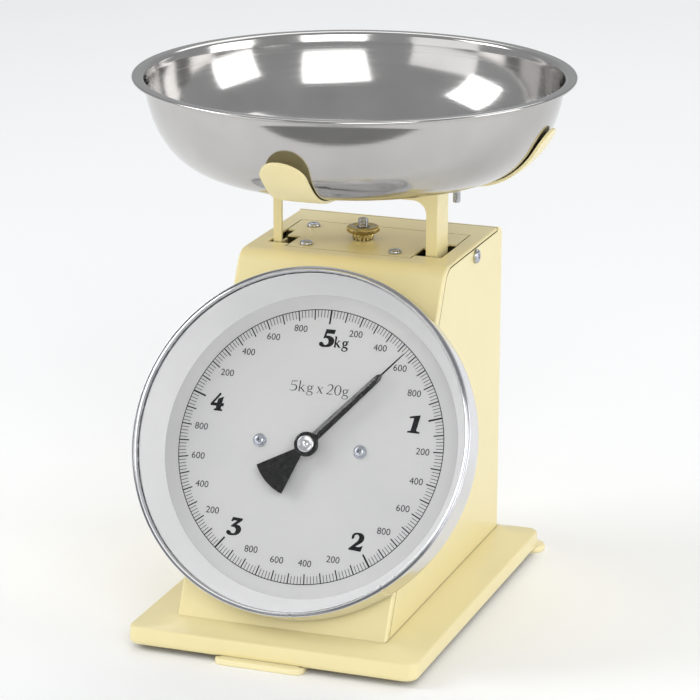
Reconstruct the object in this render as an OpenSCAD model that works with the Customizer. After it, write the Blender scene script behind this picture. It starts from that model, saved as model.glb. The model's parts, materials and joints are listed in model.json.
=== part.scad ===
// Spring-dial kitchen scale with a steel weighing bowl.
// Millimetres. X is to the right of someone reading the dial, Y is away from them, Z is up.
// The modules are drawn about the middle of the base; place() then centres the whole scale.

/* [Base] */
// Width of the base tray
base_w = 150; // [140:1:160]
// Depth of the base tray, front to back
base_d = 207.2; // [204:1:216]
// Height of the tray's lower rim above the table
rim_z = 3; // [2:0.5:4]
// Height of the edge where the tray's wall turns into its top
tray_edge_z = 12; // [10:0.5:13]
// Height of the raised middle of the tray, where the casing stands
tray_top_z = 15; // [14:0.5:17]
// Radius of the tray's corners in plan
tray_corner_r = 5; // [3:0.5:10]

/* [Casing] */
// Width of the casing
case_w = 109; // [104:1:112]
// Height of the casing's top above the table
case_top_z = 180.4; // [178:0.1:184]
// Where the front face meets the tray
case_front_y = -87; // [-88:0.5:-85]
// The upright back face
case_rear_y = 92.6; // [90:0.1:94]
// How far the front face and the dial lean back from upright
lean = 27.3; // [26:0.1:28.5]
// Sheet thickness of the casing and tray
sheet = 1; // [0.8:0.1:1.2]
// Width of the front cover's side flange
flange_w = 5; // [4:0.5:7]

/* [Dial] */
// Height of the pointer shaft where it meets the dial
dial_z = 96.2; // [94:0.1:98]
// Outer radius of the bezel
bezel_r = 86.8; // [84:0.1:88]
// Front edge of the bezel, measured out from the dial
bezel_front = 18.8; // [17:0.1:20]
// Radius of the flat dial face
face_r = 76.2; // [72:0.1:78]
// Reading that the pointer shows, in kilograms
reading_kg = 0.56; // [0:0.02:5]
// Largest reading
capacity_kg = 5; // [5]

/* [Bowl and cradle] */
// Outer radius of the bowl's rim
bowl_r = 110; // [106:0.5:114]
// Width of the rolled-out rim
bowl_rim_w = 6; // [4:0.5:8]
// Height of the rim
bowl_rim_z = 270.7; // [268:0.1:274]
// Height of the underside of the bowl
bowl_floor_z = 223.4; // [223:0.1:225]
// Radius of the flat floor of the bowl
bowl_floor_r = 65.5; // [60:0.5:70]
// Distance of the bowl's axis behind the middle of the base
bowl_y = 16.8; // [14:0.2:20]
// Width of a cradle arm
arm_w = 23.2; // [20:0.5:28]
// Height of the arm tips
arm_tip_z = 250; // [244:1:254]
// How far the arm tips stand off the bowl
arm_stand_off = 3; // [0:0.5:6]

/* [Weighing gear] */
// Teeth on the pointer's pinion
pinion_teeth = 8; // [8]
// Pitch radius of the pinion
pinion_r = 2; // [2]
// Distance between the pivots of a guide link
link_len = 50; // [48:1:52]
// Spring axes, to each side of the stud
spring_pitch = 11; // [10:0.5:13]
// Outer radius of a spring
spring_r = 5; // [4:0.5:5.5]
// Thickness of the spring wire
wire = 1.2; // [1:0.1:1.4]
// Turns of a spring
spring_turns = 16; // [12:1:18]

/* [Hidden] */
$fn = 96;
eps = 0.01;
steel_t = 1.2;                      // chassis and yoke sheet
fit = 0.05;                         // radial clearance of a running fit

// Casing
case_hw = case_w / 2;
top_bend_r = 10;
rear_bend_r = 8;
side_bend_r = 1.5;                  // upright rear corners
seam = 0.8;                         // gap between the two covers
plate_gap = 0.6;                    // gap round the bridge plate
function front_y(z) = case_front_y + (z - tray_top_z) * tan(lean);

// Dial frame: origin on the dial, local Z towards the reader, local Y up the dial
cover_gap = 1;                      // from the front cover out to the dial
dial_y = front_y(dial_z) - cover_gap / cos(lean);
bezel_back = 2.1;
housing_r = 85.2;
lens_back = 15;
lens_t = 1.6;
dial_screw_x = 26.3;
shaft_r = 1.2;
shaft_front = 6.9;
shaft_back = -33.5;
pointer_z = 4.8;                    // back of the pointer, out from the dial

// Travel: the platform sinks straight down while the rack slides across the leaning pinion
travel = 2 * PI * pinion_r / cos(lean);
mm_per_kg = travel / capacity_kg;
reading_drop = reading_kg * mm_per_kg;
pointer_deg = 360 * reading_kg / capacity_kg;
rack_depth = -20.2;                 // middle of the rack, behind the dial
tooth_pitch = 2 * PI * pinion_r / pinion_teeth;
frame_back = -32.2;                 // rear plate of the movement frame

// Top opening
slot_x = 46.4;
slot_front_y = 17;
slot_rear_y = 44;
plate_y = 12;
plate_rear_y = 64;
plate_xl = -34.5;
plate_xr = 31.5;
plate_step_y = 32.4;
plate_step_x = 41.3;
plate_wide_x = 45.5;

// Yoke
leg_out_x = 43.5;
leg_in_x = 37.8;
leg_y = 17.6;
leg_rear_y = 35;
neck_z = 178;                       // above this the left leg is narrower
neck_in_x = 39.2;
neck_rear_y = 27.6;
leg_foot_z = 34;
yoke_top_z = 221;
beam_z = 208.4;
beam_fillet_r = 7;
flange_rear_y = 42;
cradle_t = 1.5;
tab_x = 60;
cradle_screw_x = 53.4;
cradle_screw_y = 18;
cradle_screw_r = 1.9;
cradle_screw_low = 209.4;
cradle_screw_hole_r = cradle_screw_r + 0.1;

// Links: level when the platform is halfway down
half_drop = travel / 2 - reading_drop;
link_y = 76;
link_reach = sqrt(link_len * link_len - half_drop * half_drop);
upper_pivot_z = 150;
lower_pivot_z = 50;
link_x = 34;
link_pin_r = 1.5;
link_rod_r = 2;

// Springs and adjuster
stud_x = -3;
stud_y = 39;
stud_r = 2.7;
stud_top_z = 191.1;
hanger_z = 163;
hanger_h = 3;
anchor_z = 104;
hook_hole_r = 1.6;
chassis_x = 31;
chassis_front_y = 48;
chassis_rear_y = 84.2;
chassis_foot_y = 79.6;
top_sheet_z = case_top_z - sheet;

// Bowl outline: a super-ellipse from the flat floor to the upright wall
bowl_t = 0.8;
wall_r = bowl_r - bowl_rim_w + 0.4;
wall_top_z = 277.6;
bowl_power = 2.18;
bowl_steps = 22;
wall_depth = wall_top_z - bowl_floor_z;
rim_fraction = (wall_top_z - bowl_rim_z) / wall_depth;
function bowl_wall_r(s) =
    bowl_floor_r + (wall_r - bowl_floor_r) * pow(max(0, 1 - pow(s, bowl_power)), 1 / bowl_power);
// Points from the rim down to the floor; steps crowd towards the floor, where the wall turns
function bowl_side(grow) = [
    for (i = [0:bowl_steps])
        let (
            s = rim_fraction + (1 - rim_fraction) * sin(90 * i / bowl_steps),
            z = wall_top_z - s * wall_depth,
            slope = min(1, pow(s, 2))
        )
        [bowl_wall_r(s) + grow * (1 - 0.55 * slope), z - grow * slope]
];

// The whole scale is centred front to back on the space between foot and bowl
front_reach = base_d / 2 + 3;
centre_y = (bowl_y + bowl_r - front_reach) / 2;

// ---- helpers ----

module place() { translate([0, -centre_y, 0]) children(); }

// Children are drawn in the dial's own frame
module on_dial() { translate([0, dial_y, dial_z]) rotate([90 - lean, 0, 0]) children(); }

module mirrored_x() { for (m = [0, 1]) mirror([m, 0, 0]) children(); }

// A box between two corners
module span(a, b) { translate(a) cube(b - a); }

// Extrudes a (y, z) outline along X, from -half to half
module along_x(half) {
    translate([-half, 0, 0]) rotate([90, 0, 90]) linear_extrude(2 * half) children();
}

function unit(v) = v / norm(v);
function reversed(v) = [for (i = [len(v) - 1:-1:0]) v[i]];
function wrap(a) = a > 180 ? a - 360 : a < -180 ? a + 360 : a;
// Arc that rounds corner b of the path a, b, c
function corner(a, b, c, r, n = 6) =
    r <= 0 ? [b] :
    let (
        u = unit(a - b), v = unit(c - b), half = acos(u * v) / 2,
        m = b + unit(u + v) * r / sin(half),
        p = b + u * r / tan(half), q = b + v * r / tan(half),
        a0 = atan2(p.y - m.y, p.x - m.x),
        sweep = wrap(atan2(q.y - m.y, q.x - m.x) - a0)
    )
    [for (i = [0:n]) m + r * [cos(a0 + sweep * i / n), sin(a0 + sweep * i / n)]];
function rounded(pts, r, n = 6) = [
    for (i = [0:len(pts) - 1])
        each corner(pts[(i + len(pts) - 1) % len(pts)], pts[i], pts[(i + 1) % len(pts)], r[i], n)
];

module tube(r_out, r_in, z0, z1) {
    translate([0, 0, z0]) difference() {
        cylinder(r = r_out, h = z1 - z0);
        translate([0, 0, -1]) cylinder(r = r_in, h = z1 - z0 + 2);
    }
}

// Domed screw head standing on z = 0, with a cross recess
module screw_head(r, h) {
    ball = (r * r + h * h) / (2 * h);
    difference() {
        intersection() {
            translate([0, 0, h - ball]) sphere(r = ball);
            cylinder(r = r, h = h);
        }
        for (a = [0, 90]) rotate(a) translate([-r * 0.5, -0.3, h - 0.8]) cube([r, 0.6, 1]);
    }
}

// A screw whose head stands on z = 0 and whose shank goes down
module screw(r, h, shank_r, shank_l) {
    screw_head(r, h);
    translate([0, 0, -shank_l]) cylinder(r = shank_r, h = shank_l);
}

// ---- base ----

module tray_plan(w, front, rear, r) {
    polygon(rounded([[-w, front], [w, front], [w, rear], [-w, rear]], [r, r, r, r]));
}

module tray_block(inset) {
    hw = base_w / 2 - inset;
    hd = base_d / 2 - inset;
    hull() {
        translate([0, 0, rim_z - (inset > 0 ? 1 : 0)])
            linear_extrude(tray_edge_z - rim_z - 1.2 - inset / 2 + (inset > 0 ? 1 : 0))
                tray_plan(hw, -hd, hd, tray_corner_r);
        translate([0, 0, tray_edge_z - 0.2 - inset])
            linear_extrude(0.2) tray_plan(hw - 1.4, 1.4 - hd, hd - 1.4, tray_corner_r - 1);
        translate([0, 0, tray_top_z - 0.2 - inset])
            linear_extrude(0.2)
                tray_plan(case_hw + 2 - inset, case_front_y - 2 + inset, case_rear_y + 2 - inset, 3);
    }
}

base_screw_at = [[-38, 56], [38, 56], [-38, 76], [38, 76], [-30, -76], [30, -76], [-30, 86], [30, 86]];

module base_tray() color([0.94, 0.88, 0.68]) difference() {
    tray_block(0);
    tray_block(sheet);
    for (p = base_screw_at) translate([p.x, p.y, 5]) cylinder(r = 1.9, h = 15);
}

// A foot lies under the tray's rim and has a rib that bears on the inside of the wall
foot_h = rim_z;
foot_rib_h = 5;
rib_gap = 0.1;

module front_foot() color([0.96, 0.91, 0.68]) {
    hw = 23;
    end_r = 4;
    mid_x = -4.8;
    wall_y = -base_d / 2 + sheet + rib_gap;
    linear_extrude(foot_h) polygon(rounded(
        [[mid_x - hw, -front_reach], [mid_x + hw, -front_reach],
         [mid_x + hw, -front_reach + 20], [mid_x - hw, -front_reach + 20]],
        [end_r, end_r, 2, 2]));
    span([mid_x - hw + 3, wall_y, foot_h - 1], [mid_x + hw - 3, wall_y + 4, foot_h + foot_rib_h]);
}

module rear_foot() color([0.96, 0.91, 0.68]) {
    bar_y = base_d / 2;
    bar_r = 7.4;
    bar_x = 70;
    rib_x = base_w / 2 - 10;
    wall_y = base_d / 2 - sheet - rib_gap;
    translate([-bar_x, bar_y - bar_r, 0]) cube([2 * bar_x, 2 * bar_r, foot_h]);
    for (s = [-1, 1]) translate([s * bar_x, bar_y, 0]) cylinder(r = bar_r, h = foot_h);
    span([-rib_x, wall_y - 4, foot_h - 1], [rib_x, wall_y, foot_h + foot_rib_h]);
}

module base_screws() color([0.7, 0.7, 0.72])
    for (p = base_screw_at) translate([p.x, p.y, tray_top_z - sheet])
        rotate([180, 0, 0]) screw(3.2, 1.8, 1.75, 3.4);

// ---- casing ----

function case_outline(inset) =
    let (shift = inset / cos(lean), bottom = tray_top_z - (inset > 0 ? 1 : 0), top = case_top_z - inset)
    rounded(
        [[front_y(bottom) + shift, bottom], [case_rear_y - inset, bottom],
         [case_rear_y - inset, top], [front_y(top) + shift, top]],
        [0, 0, rear_bend_r - inset, top_bend_r - inset], 10);

module case_block(inset) {
    plan_r = side_bend_r - inset;
    intersection() {
        along_x(case_hw - inset) polygon(case_outline(inset));
        linear_extrude(case_top_z + 1) polygon(rounded(
            [[inset - case_hw, case_front_y - 5], [case_hw - inset, case_front_y - 5],
             [case_hw - inset, case_rear_y - inset], [inset - case_hw, case_rear_y - inset]],
            [0, 0, plan_r, plan_r]));
    }
}

// The side view of everything that belongs to the rear cover
module rear_zone(grow) {
    low = tray_top_z - 2;
    top = case_top_z - 2 + grow;
    split_y = case_rear_y - rear_bend_r - grow;
    polygon(rounded(
        [[front_y(low) + flange_w - grow, low], [case_rear_y + 2, low],
         [case_rear_y + 2, case_top_z + 2], [split_y, case_top_z + 2],
         [split_y, top], [front_y(top) + flange_w - grow, top]],
        [0, 0, 0, 0, 0, top_bend_r]));
}

// Outline of the bridge plate and, grown, of the opening that it sits in
module plate_outline(grow) {
    polygon([
        [plate_xl - grow, plate_y - grow], [plate_xr + grow, plate_y - grow],
        [plate_xr + grow, plate_step_y - grow], [plate_step_x + grow, plate_step_y - grow],
        [plate_step_x + grow, slot_rear_y - grow], [plate_wide_x + grow, slot_rear_y - grow],
        [plate_wide_x + grow, plate_rear_y + grow], [-plate_wide_x - grow, plate_rear_y + grow],
        [-plate_wide_x - grow, slot_rear_y - grow], [-plate_step_x - grow, slot_rear_y - grow],
        [-plate_step_x - grow, plate_step_y - grow], [plate_xl - grow, plate_step_y - grow]
    ]);
}

module leg_slots() {
    for (s = [-1, 1]) translate([s > 0 ? 30 : -slot_x, slot_front_y])
        square([slot_x - 30, slot_rear_y - slot_front_y]);
}

side_screw_y = 47;
side_screw_z = 174.5;

module front_cover() color([0.93, 0.87, 0.67]) {
    difference() {
        case_block(0);
        case_block(sheet);
        along_x(case_hw + 1) rear_zone(seam);
        translate([0, 0, case_top_z - 3]) linear_extrude(5) {
            plate_outline(plate_gap);
            leg_slots();
        }
        on_dial() {
            translate([0, 0, -10]) cylinder(r = 5, h = 12);
            for (s = [-1, 1]) translate([s * dial_screw_x, 0, -10]) cylinder(r = 1.9, h = 12);
        }
    }
    // bottom flange, screwed down to the tray
    difference() {
        span([-40, front_y(tray_top_z) + 1.6, tray_top_z], [40, -70, tray_top_z + sheet]);
        for (x = [-30, 30]) translate([x, -76, 0]) cylinder(r = 1.8, h = 30);
    }
    // narrow web that ties the flange to the face
    along_x(40) polygon([
        [front_y(tray_top_z) + 1, tray_top_z], [front_y(tray_top_z) + 2, tray_top_z],
        [front_y(tray_top_z + 1) + 2, tray_top_z + 1], [front_y(tray_top_z + 1) + 1, tray_top_z + 1]]);
}

module rear_cover() color([0.93, 0.87, 0.67]) {
    difference() {
        intersection() {
            difference() {
                case_block(0);
                case_block(sheet);
            }
            along_x(case_hw + 1) rear_zone(0);
        }
        for (s = [-1, 1]) translate([s * case_hw, side_screw_y, side_screw_z])
            rotate([0, 90, 0]) translate([0, 0, -5]) cylinder(r = 2, h = 10);
    }
    difference() {
        span([-40, 80, tray_top_z], [40, case_rear_y - sheet + 0.2, tray_top_z + sheet]);
        for (x = [-30, 30]) translate([x, 86, 0]) cylinder(r = 1.8, h = 30);
    }
}

module cover_screws() color([0.82, 0.82, 0.84])
    mirrored_x() translate([case_hw, side_screw_y, side_screw_z]) rotate([0, 90, 0])
        screw(3.6, 2.1, 1.85, 4.5);

// ---- chassis ----

module chassis_frame() color([0.72, 0.73, 0.75]) {
    top = top_sheet_z - steel_t;
    difference() {
        union() {
            mirrored_x() {
                span([chassis_x, chassis_front_y, tray_top_z],
                     [chassis_x + steel_t, chassis_foot_y, top]);
                span([chassis_x, chassis_front_y, tray_top_z],
                     [46, chassis_foot_y, tray_top_z + steel_t]);
                // the rear corner clears the rear cover's bottom flange
                span([chassis_x, chassis_foot_y - eps, tray_top_z + 2 * sheet],
                     [chassis_x + steel_t, chassis_rear_y, top]);
            }
            span([-chassis_x - eps, chassis_rear_y - steel_t, 30], [chassis_x + eps, chassis_rear_y, top]);
        }
        for (p = base_screw_at) translate([p.x, p.y, 0]) cylinder(r = 1.8, h = 30);
        for (z = [upper_pivot_z, lower_pivot_z])
            translate([-50, link_y, z]) rotate([0, 90, 0]) cylinder(r = link_rod_r + fit, h = 100);
    }
}

module top_crossbar() color([0.72, 0.73, 0.75]) {
    z0 = top_sheet_z - steel_t;
    ear_x = case_hw - sheet;
    difference() {
        union() {
            span([-ear_x, 46.4, z0], [ear_x, 62.4, top_sheet_z]);
            span([plate_xl + 1.5, 14, z0], [plate_xr - 1.5, 46.4 + eps, top_sheet_z]);
            mirrored_x() span([ear_x - steel_t, 41, 166], [ear_x, 58, top_sheet_z]);
        }
        for (p = bridge_screw_at) translate([p.x, p.y, z0 - 1]) cylinder(r = 1.5, h = 5);
        translate([stud_x, stud_y, z0 - 1]) cylinder(r = stud_r + 0.6, h = 5);
        mirrored_x() translate([ear_x - 5, side_screw_y, side_screw_z])
            rotate([0, 90, 0]) cylinder(r = 1.9, h = 10);
    }
}

bridge_screw_at = [[-26.2, 18.7], [21.3, 18.4], [-35.3, 53.7], [34, 53.7]];

module bridge_plate() color([0.93, 0.87, 0.67]) difference() {
    translate([0, 0, top_sheet_z]) linear_extrude(sheet) plate_outline(0);
    for (p = bridge_screw_at) translate([p.x, p.y, top_sheet_z - 1]) cylinder(r = 1.5, h = 5);
    translate([stud_x, stud_y, top_sheet_z - 1]) cylinder(r = stud_r + 0.6, h = 5);
}

module bridge_screws() color([0.82, 0.82, 0.84])
    for (p = bridge_screw_at) translate([p.x, p.y, case_top_z]) screw(3.3, 1.9, 1.5, 5);

// ---- dial movement, drawn in the dial frame ----

module mechanism_frame() color([0.8, 0.72, 0.42]) on_dial() {
    face = -cover_gap - sheet;
    low = -29;
    difference() {
        union() {
            span([-12, low, face - steel_t], [12, 6, face]);
            span([-32, -6, face - steel_t], [32, 6, face]);
            span([-12, low, frame_back], [12, low + steel_t, face]);
            span([-12, low, frame_back], [12, 5, frame_back + steel_t]);
        }
        translate([0, 0, frame_back - 1]) cylinder(r = 3.2, h = 40);
        for (s = [-1, 1]) translate([s * dial_screw_x, 0, face - 3]) cylinder(r = 1.5, h = 5);
    }
}

module shaft_bushes() color([0.75, 0.6, 0.3]) on_dial() {
    front_plate = -cover_gap - sheet - steel_t;
    tube(3.2, shaft_r + fit, front_plate, front_plate + steel_t);
    tube(4.4, shaft_r + fit, front_plate - 1, front_plate);
    tube(3.2, shaft_r + fit, frame_back, frame_back + steel_t);
    tube(4.4, shaft_r + fit, frame_back + steel_t, frame_back + steel_t + 1);
}

module dial_housing() color([0.8, 0.8, 0.82]) on_dial() {
    floor_z = -cover_gap + 0.05;
    difference() {
        union() {
            tube(housing_r, housing_r - 0.8, floor_z, lens_back - 0.2);
            translate([0, 0, floor_z]) cylinder(r = housing_r, h = 0.5);
        }
        translate([0, 0, -3]) cylinder(r = 4.5, h = 6);
        for (s = [-1, 1]) translate([s * dial_screw_x, 0, -3]) cylinder(r = 1.9, h = 6);
    }
}

module dial_face() color([0.82, 0.82, 0.82]) on_dial() difference() {
    translate([0, 0, -0.4]) cylinder(r = face_r, h = 0.4);
    translate([0, 0, -1]) cylinder(r = 3, h = 3);
    for (s = [-1, 1]) translate([s * dial_screw_x, 0, -1]) cylinder(r = 1.9, h = 3);
}

module dial_screws() color([0.82, 0.82, 0.84]) on_dial()
    for (s = [-1, 1]) translate([s * dial_screw_x, 0, 0]) screw(3.2, 2.2, 1.5, 4);

// Light ring that slopes from the edge of the face out to the lens
module dial_ring() color([0.88, 0.88, 0.89]) on_dial() rotate_extrude() polygon([
    [face_r - 0.4, 0.05], [face_r + 0.4, 0.05], [84, lens_back - 0.9], [84, lens_back],
    [83.2, lens_back], [face_r - 0.2, 0.6]]);

module lens() color([0.9, 0.95, 0.97, 0.3]) on_dial()
    translate([0, 0, lens_back + 0.02]) cylinder(r = 84.9, h = lens_t);

module bezel() color([0.78, 0.78, 0.8]) on_dial() {
    lip_z = lens_back + lens_t + 0.1;
    rotate_extrude() polygon(concat(
        [[housing_r + 0.1, bezel_back], [bezel_r, bezel_back]],
        corner([bezel_r, bezel_back], [bezel_r, bezel_front], [83, bezel_front], 1),
        [[84.4, bezel_front], [83.8, bezel_front - 0.6], [83.8, lip_z], [housing_r + 0.1, lip_z]]));
}

// ---- pointer ----

module pointer_shaft() color([0.75, 0.75, 0.78]) on_dial()
    translate([0, 0, shaft_back]) cylinder(r = shaft_r, h = shaft_front - shaft_back);

module pinion() color([0.78, 0.62, 0.3]) on_dial() {
    root_r = pinion_r - 0.55;
    half_root = 0.26;
    half_tip = 0.13;
    translate([0, 0, -28]) difference() {
        linear_extrude(11) union() {
            circle(r = root_r);
            for (i = [0:pinion_teeth - 1]) rotate(360 * i / pinion_teeth)
                polygon([[0.8, -half_root], [root_r, -half_root], [pinion_r + 0.45, -half_tip],
                         [pinion_r + 0.45, half_tip], [root_r, half_root], [0.8, half_root]]);
        }
        translate([0, 0, -1]) cylinder(r = shaft_r, h = 13);
    }
}

pointer_len = 65.2;
pointer_t = 0.6;
hub_r = 6.2;
hub_h = 1.7;
tail_r = 27.2;
tail_half_deg = 21.5;

module pointer() color([0.1, 0.1, 0.1]) on_dial() rotate(-pointer_deg) difference() {
    tail_x = tail_r * sin(tail_half_deg);
    tail_y = tail_r * cos(tail_half_deg);
    translate([0, 0, pointer_z]) union() {
        cylinder(r = hub_r, h = hub_h);
        linear_extrude(pointer_t)
            polygon([[-2.3, 2], [-1.7, 48.4], [-1, 49.6], [-0.4, 50.2], [-0.3, pointer_len],
                     [0.3, pointer_len], [0.4, 50.2], [1, 49.6], [1.7, 48.4], [2.3, 2]]);
        intersection() {
            cylinder(r = tail_r, h = pointer_t);
            linear_extrude(pointer_t)
                polygon([[-0.5, -1.5], [-tail_x, -tail_y], [-tail_x, -tail_r - 1],
                         [tail_x, -tail_r - 1], [tail_x, -tail_y], [0.5, -1.5]]);
        }
    }
    cylinder(r = shaft_r, h = 10);
}

module pointer_cap() color([0.8, 0.8, 0.82]) on_dial() {
    tube(2.6, shaft_r, pointer_z - 1.6, pointer_z);
    difference() {
        translate([0, 0, pointer_z + hub_h]) cylinder(r1 = 4.3, r2 = 3.9, h = 0.8);
        cylinder(r = shaft_r, h = shaft_front);
    }
}

// ---- platform ----

// The rack in the dial frame: its pitch line is tangent to the pinion on the right
module rack() color([0.75, 0.75, 0.78]) on_dial() {
    low = -10;
    high = 24;
    half_t = 1.2;
    root_x = pinion_r + 0.65;
    first = floor(low / tooth_pitch) + 1;
    last = ceil((high - 7) / tooth_pitch) - 1;
    tip_x = pinion_r - 0.4;
    half_root = 0.38;
    half_tip = 0.16;
    translate([0, 0, rack_depth - half_t]) linear_extrude(2 * half_t) polygon(concat(
        [[root_x + 3, low], [root_x + 3, high], [root_x, high]],
        [for (i = [last:-1:first]) let (y = (i + 0.5) * tooth_pitch)
            each [[root_x, y + half_root], [tip_x, y + half_tip],
                  [tip_x, y - half_tip], [root_x, y - half_root]]],
        [[root_x, low]]));
}

module rack_arm() color([0.72, 0.73, 0.75]) {
    // where the rack's top end stands, in the scale's frame
    top_y = dial_y + 22 * sin(lean) - rack_depth * cos(lean);
    top_z = dial_z + 22 * cos(lean) + rack_depth * sin(lean);
    x0 = pinion_r + 3.65;
    span([x0, top_y - 3, top_z - 3], [x0 + steel_t, leg_y + 1.2, top_z + 3]);
    span([x0, leg_y + 1.2 - steel_t, anchor_z], [x0 + 9, leg_y + 1.2, top_z + 3]);
}

// The leg's cross-section, an angle open towards the middle of the scale
module leg_section() {
    square([leg_out_x - leg_in_x, steel_t]);
    translate([leg_out_x - leg_in_x - steel_t, 0]) square([steel_t, leg_rear_y - leg_y]);
}

// The arched window between the legs, under the beam
module yoke_window(low) {
    translate([0, leg_y + 3, 0]) rotate([90, 0, 0]) linear_extrude(4) polygon(rounded(
        [[-neck_in_x, low], [leg_in_x, low], [leg_in_x, beam_z], [-neck_in_x, beam_z]],
        [0, 0, beam_fillet_r, beam_fillet_r]));
}

module yoke() color([0.93, 0.87, 0.67]) {
    difference() {
        union() {
            mirrored_x() translate([leg_in_x, leg_y, leg_foot_z])
                linear_extrude(yoke_top_z - leg_foot_z) leg_section();
            // beam between the legs; the window gives it its fillets
            span([-leg_out_x, leg_y, beam_z - beam_fillet_r], [leg_out_x, leg_y + steel_t, yoke_top_z]);
            // top flange with a tab at each end for the cradle screw
            span([-leg_out_x, leg_y, yoke_top_z - steel_t], [leg_out_x, flange_rear_y, yoke_top_z]);
            mirrored_x() span([leg_out_x - eps, cradle_screw_y - 6, yoke_top_z - steel_t],
                              [tab_x, cradle_screw_y + 6, yoke_top_z]);
        }
        yoke_window(neck_z);
        span([-leg_out_x - 1, neck_rear_y, neck_z], [-leg_in_x, leg_rear_y + 1, yoke_top_z - steel_t]);
        for (z = [upper_pivot_z, lower_pivot_z]) translate([-60, link_y - link_reach, z + half_drop])
            rotate([0, 90, 0]) cylinder(r = link_pin_r, h = 120);
        for (s = [-1, 1]) translate([s * cradle_screw_x, cradle_screw_y, yoke_top_z - 3])
            cylinder(r = cradle_screw_hole_r, h = 5);
    }
}

// Plate across the legs that the springs pull up on
module spring_anchor() color([0.72, 0.73, 0.75]) {
    x1 = leg_out_x - steel_t;
    front = leg_y + steel_t;
    difference() {
        union() {
            span([-x1, front, anchor_z - steel_t], [x1, leg_rear_y - 0.5, anchor_z]);
            span([-27, front, anchor_z - steel_t], [27, 46, anchor_z]);
            mirrored_x() span([x1 - steel_t, front, anchor_z - 8], [x1, leg_rear_y - 0.5, anchor_z]);
        }
        for (s = [-1, 1]) translate([stud_x + s * spring_pitch, stud_y, anchor_z - 3])
            cylinder(r = hook_hole_r + 1.8, h = 5);
    }
    // bars that the hooks go round
    for (s = [-1, 1]) translate([stud_x + s * spring_pitch - 4, stud_y - 0.8, anchor_z - steel_t])
        cube([8, 1.6, steel_t]);
}

module link_pins() color([0.75, 0.75, 0.78])
    for (z = [upper_pivot_z, lower_pivot_z]) mirrored_x()
        translate([link_x - 0.6, link_y - link_reach, z + half_drop]) rotate([0, 90, 0]) {
            cylinder(r = link_pin_r, h = leg_out_x - link_x + 0.6);
            translate([0, 0, leg_out_x - link_x + 0.6]) cylinder(r = 2.6, h = 0.8);
        }

// ---- guide links ----

module guide_link(pivot_z) color([0.72, 0.73, 0.75])
    translate([0, link_y, pivot_z]) rotate([-asin(half_drop / link_len), 0, 0]) {
        half_h = 4.2;
        slot_half = 0.8;
        mirrored_x() translate([link_x, 0, 0]) rotate([90, 0, 90]) linear_extrude(steel_t)
            difference() {
                union() {
                    circle(r = half_h);
                    translate([-link_len, 0]) circle(r = half_h);
                    translate([-link_len, -half_h]) square([link_len, 2 * half_h]);
                }
                for (s = [-1, 1]) translate([-link_len + s * slot_half, 0])
                    circle(r = link_pin_r + 0.1);
                translate([-link_len - slot_half, -link_pin_r - 0.1])
                    square([2 * slot_half, 2 * link_pin_r + 0.2]);
            }
        translate([-link_x - steel_t - 1, 0, 0]) rotate([0, 90, 0])
            cylinder(r = link_rod_r, h = 2 * (link_x + steel_t + 1));
    }

module upper_link() guide_link(upper_pivot_z);
module lower_link() guide_link(lower_pivot_z);

// ---- zero adjuster and springs ----

module zero_nut() color([0.8, 0.66, 0.3]) translate([stud_x, stud_y, case_top_z + 0.1]) {
    knurls = 36;
    disc_z = 3.5;
    disc_h = 3.2;
    difference() {
        union() {
            cylinder(r = 5.4, h = disc_z + eps);
            translate([0, 0, disc_z]) cylinder(r = 8, h = disc_h);
            translate([0, 0, disc_z]) linear_extrude(disc_h)
                for (i = [0:knurls - 1]) rotate(360 * i / knurls)
                    polygon([[7.8, -0.5], [8.4, 0], [7.8, 0.5]]);
        }
        translate([0, 0, -1]) cylinder(r = stud_r + fit, h = 10);
    }
}

module adjuster_stud() color([0.7, 0.7, 0.73]) translate([stud_x, stud_y, 0])
    translate([0, 0, hanger_z + hanger_h]) {
        cylinder(r = stud_r, h = stud_top_z - hanger_z - hanger_h - 0.6);
        translate([0, 0, stud_top_z - hanger_z - hanger_h - 0.6])
            cylinder(r1 = stud_r, r2 = stud_r - 0.6, h = 0.6);
    }

module spring_hanger() color([0.72, 0.73, 0.75]) difference() {
    span([stud_x - spring_pitch - 5, stud_y - 3.4, hanger_z],
         [stud_x + spring_pitch + 5, stud_y + 3.4, hanger_z + hanger_h]);
    for (s = [-1, 1]) translate([stud_x + s * spring_pitch, stud_y + 5, hanger_z + 1.1])
        rotate([90, 0, 0]) cylinder(r = 1, h = 10);
    for (s = [-1, 1]) translate([stud_x + s * spring_pitch - 1, stud_y - 4, hanger_z - 1])
        cube([2, 8, 2.1]);
}

// Centre line of a spring: straight leads on the axis, then the turns
coil_r = spring_r - wire / 2;
coil_top_z = hanger_z - 6;
coil_low_z = anchor_z + 5.4;
turn_steps = 12;
lead_steps = 3;
function spring_path() = concat(
    [[0, 0, hanger_z - 1.2]],
    [for (i = [0:lead_steps - 1]) [coil_r * i / lead_steps, 0, coil_top_z + 0.8 * (1 - i / lead_steps)]],
    [for (i = [0:spring_turns * turn_steps])
        [coil_r * cos(360 * i / turn_steps), coil_r * sin(360 * i / turn_steps),
         coil_top_z - (coil_top_z - coil_low_z) * i / (spring_turns * turn_steps)]],
    [for (i = [1:lead_steps]) [coil_r * (1 - i / lead_steps), 0, coil_low_z - 0.8 * i / lead_steps]],
    [[0, 0, anchor_z + 1.2]]);

sides = 6;
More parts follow.
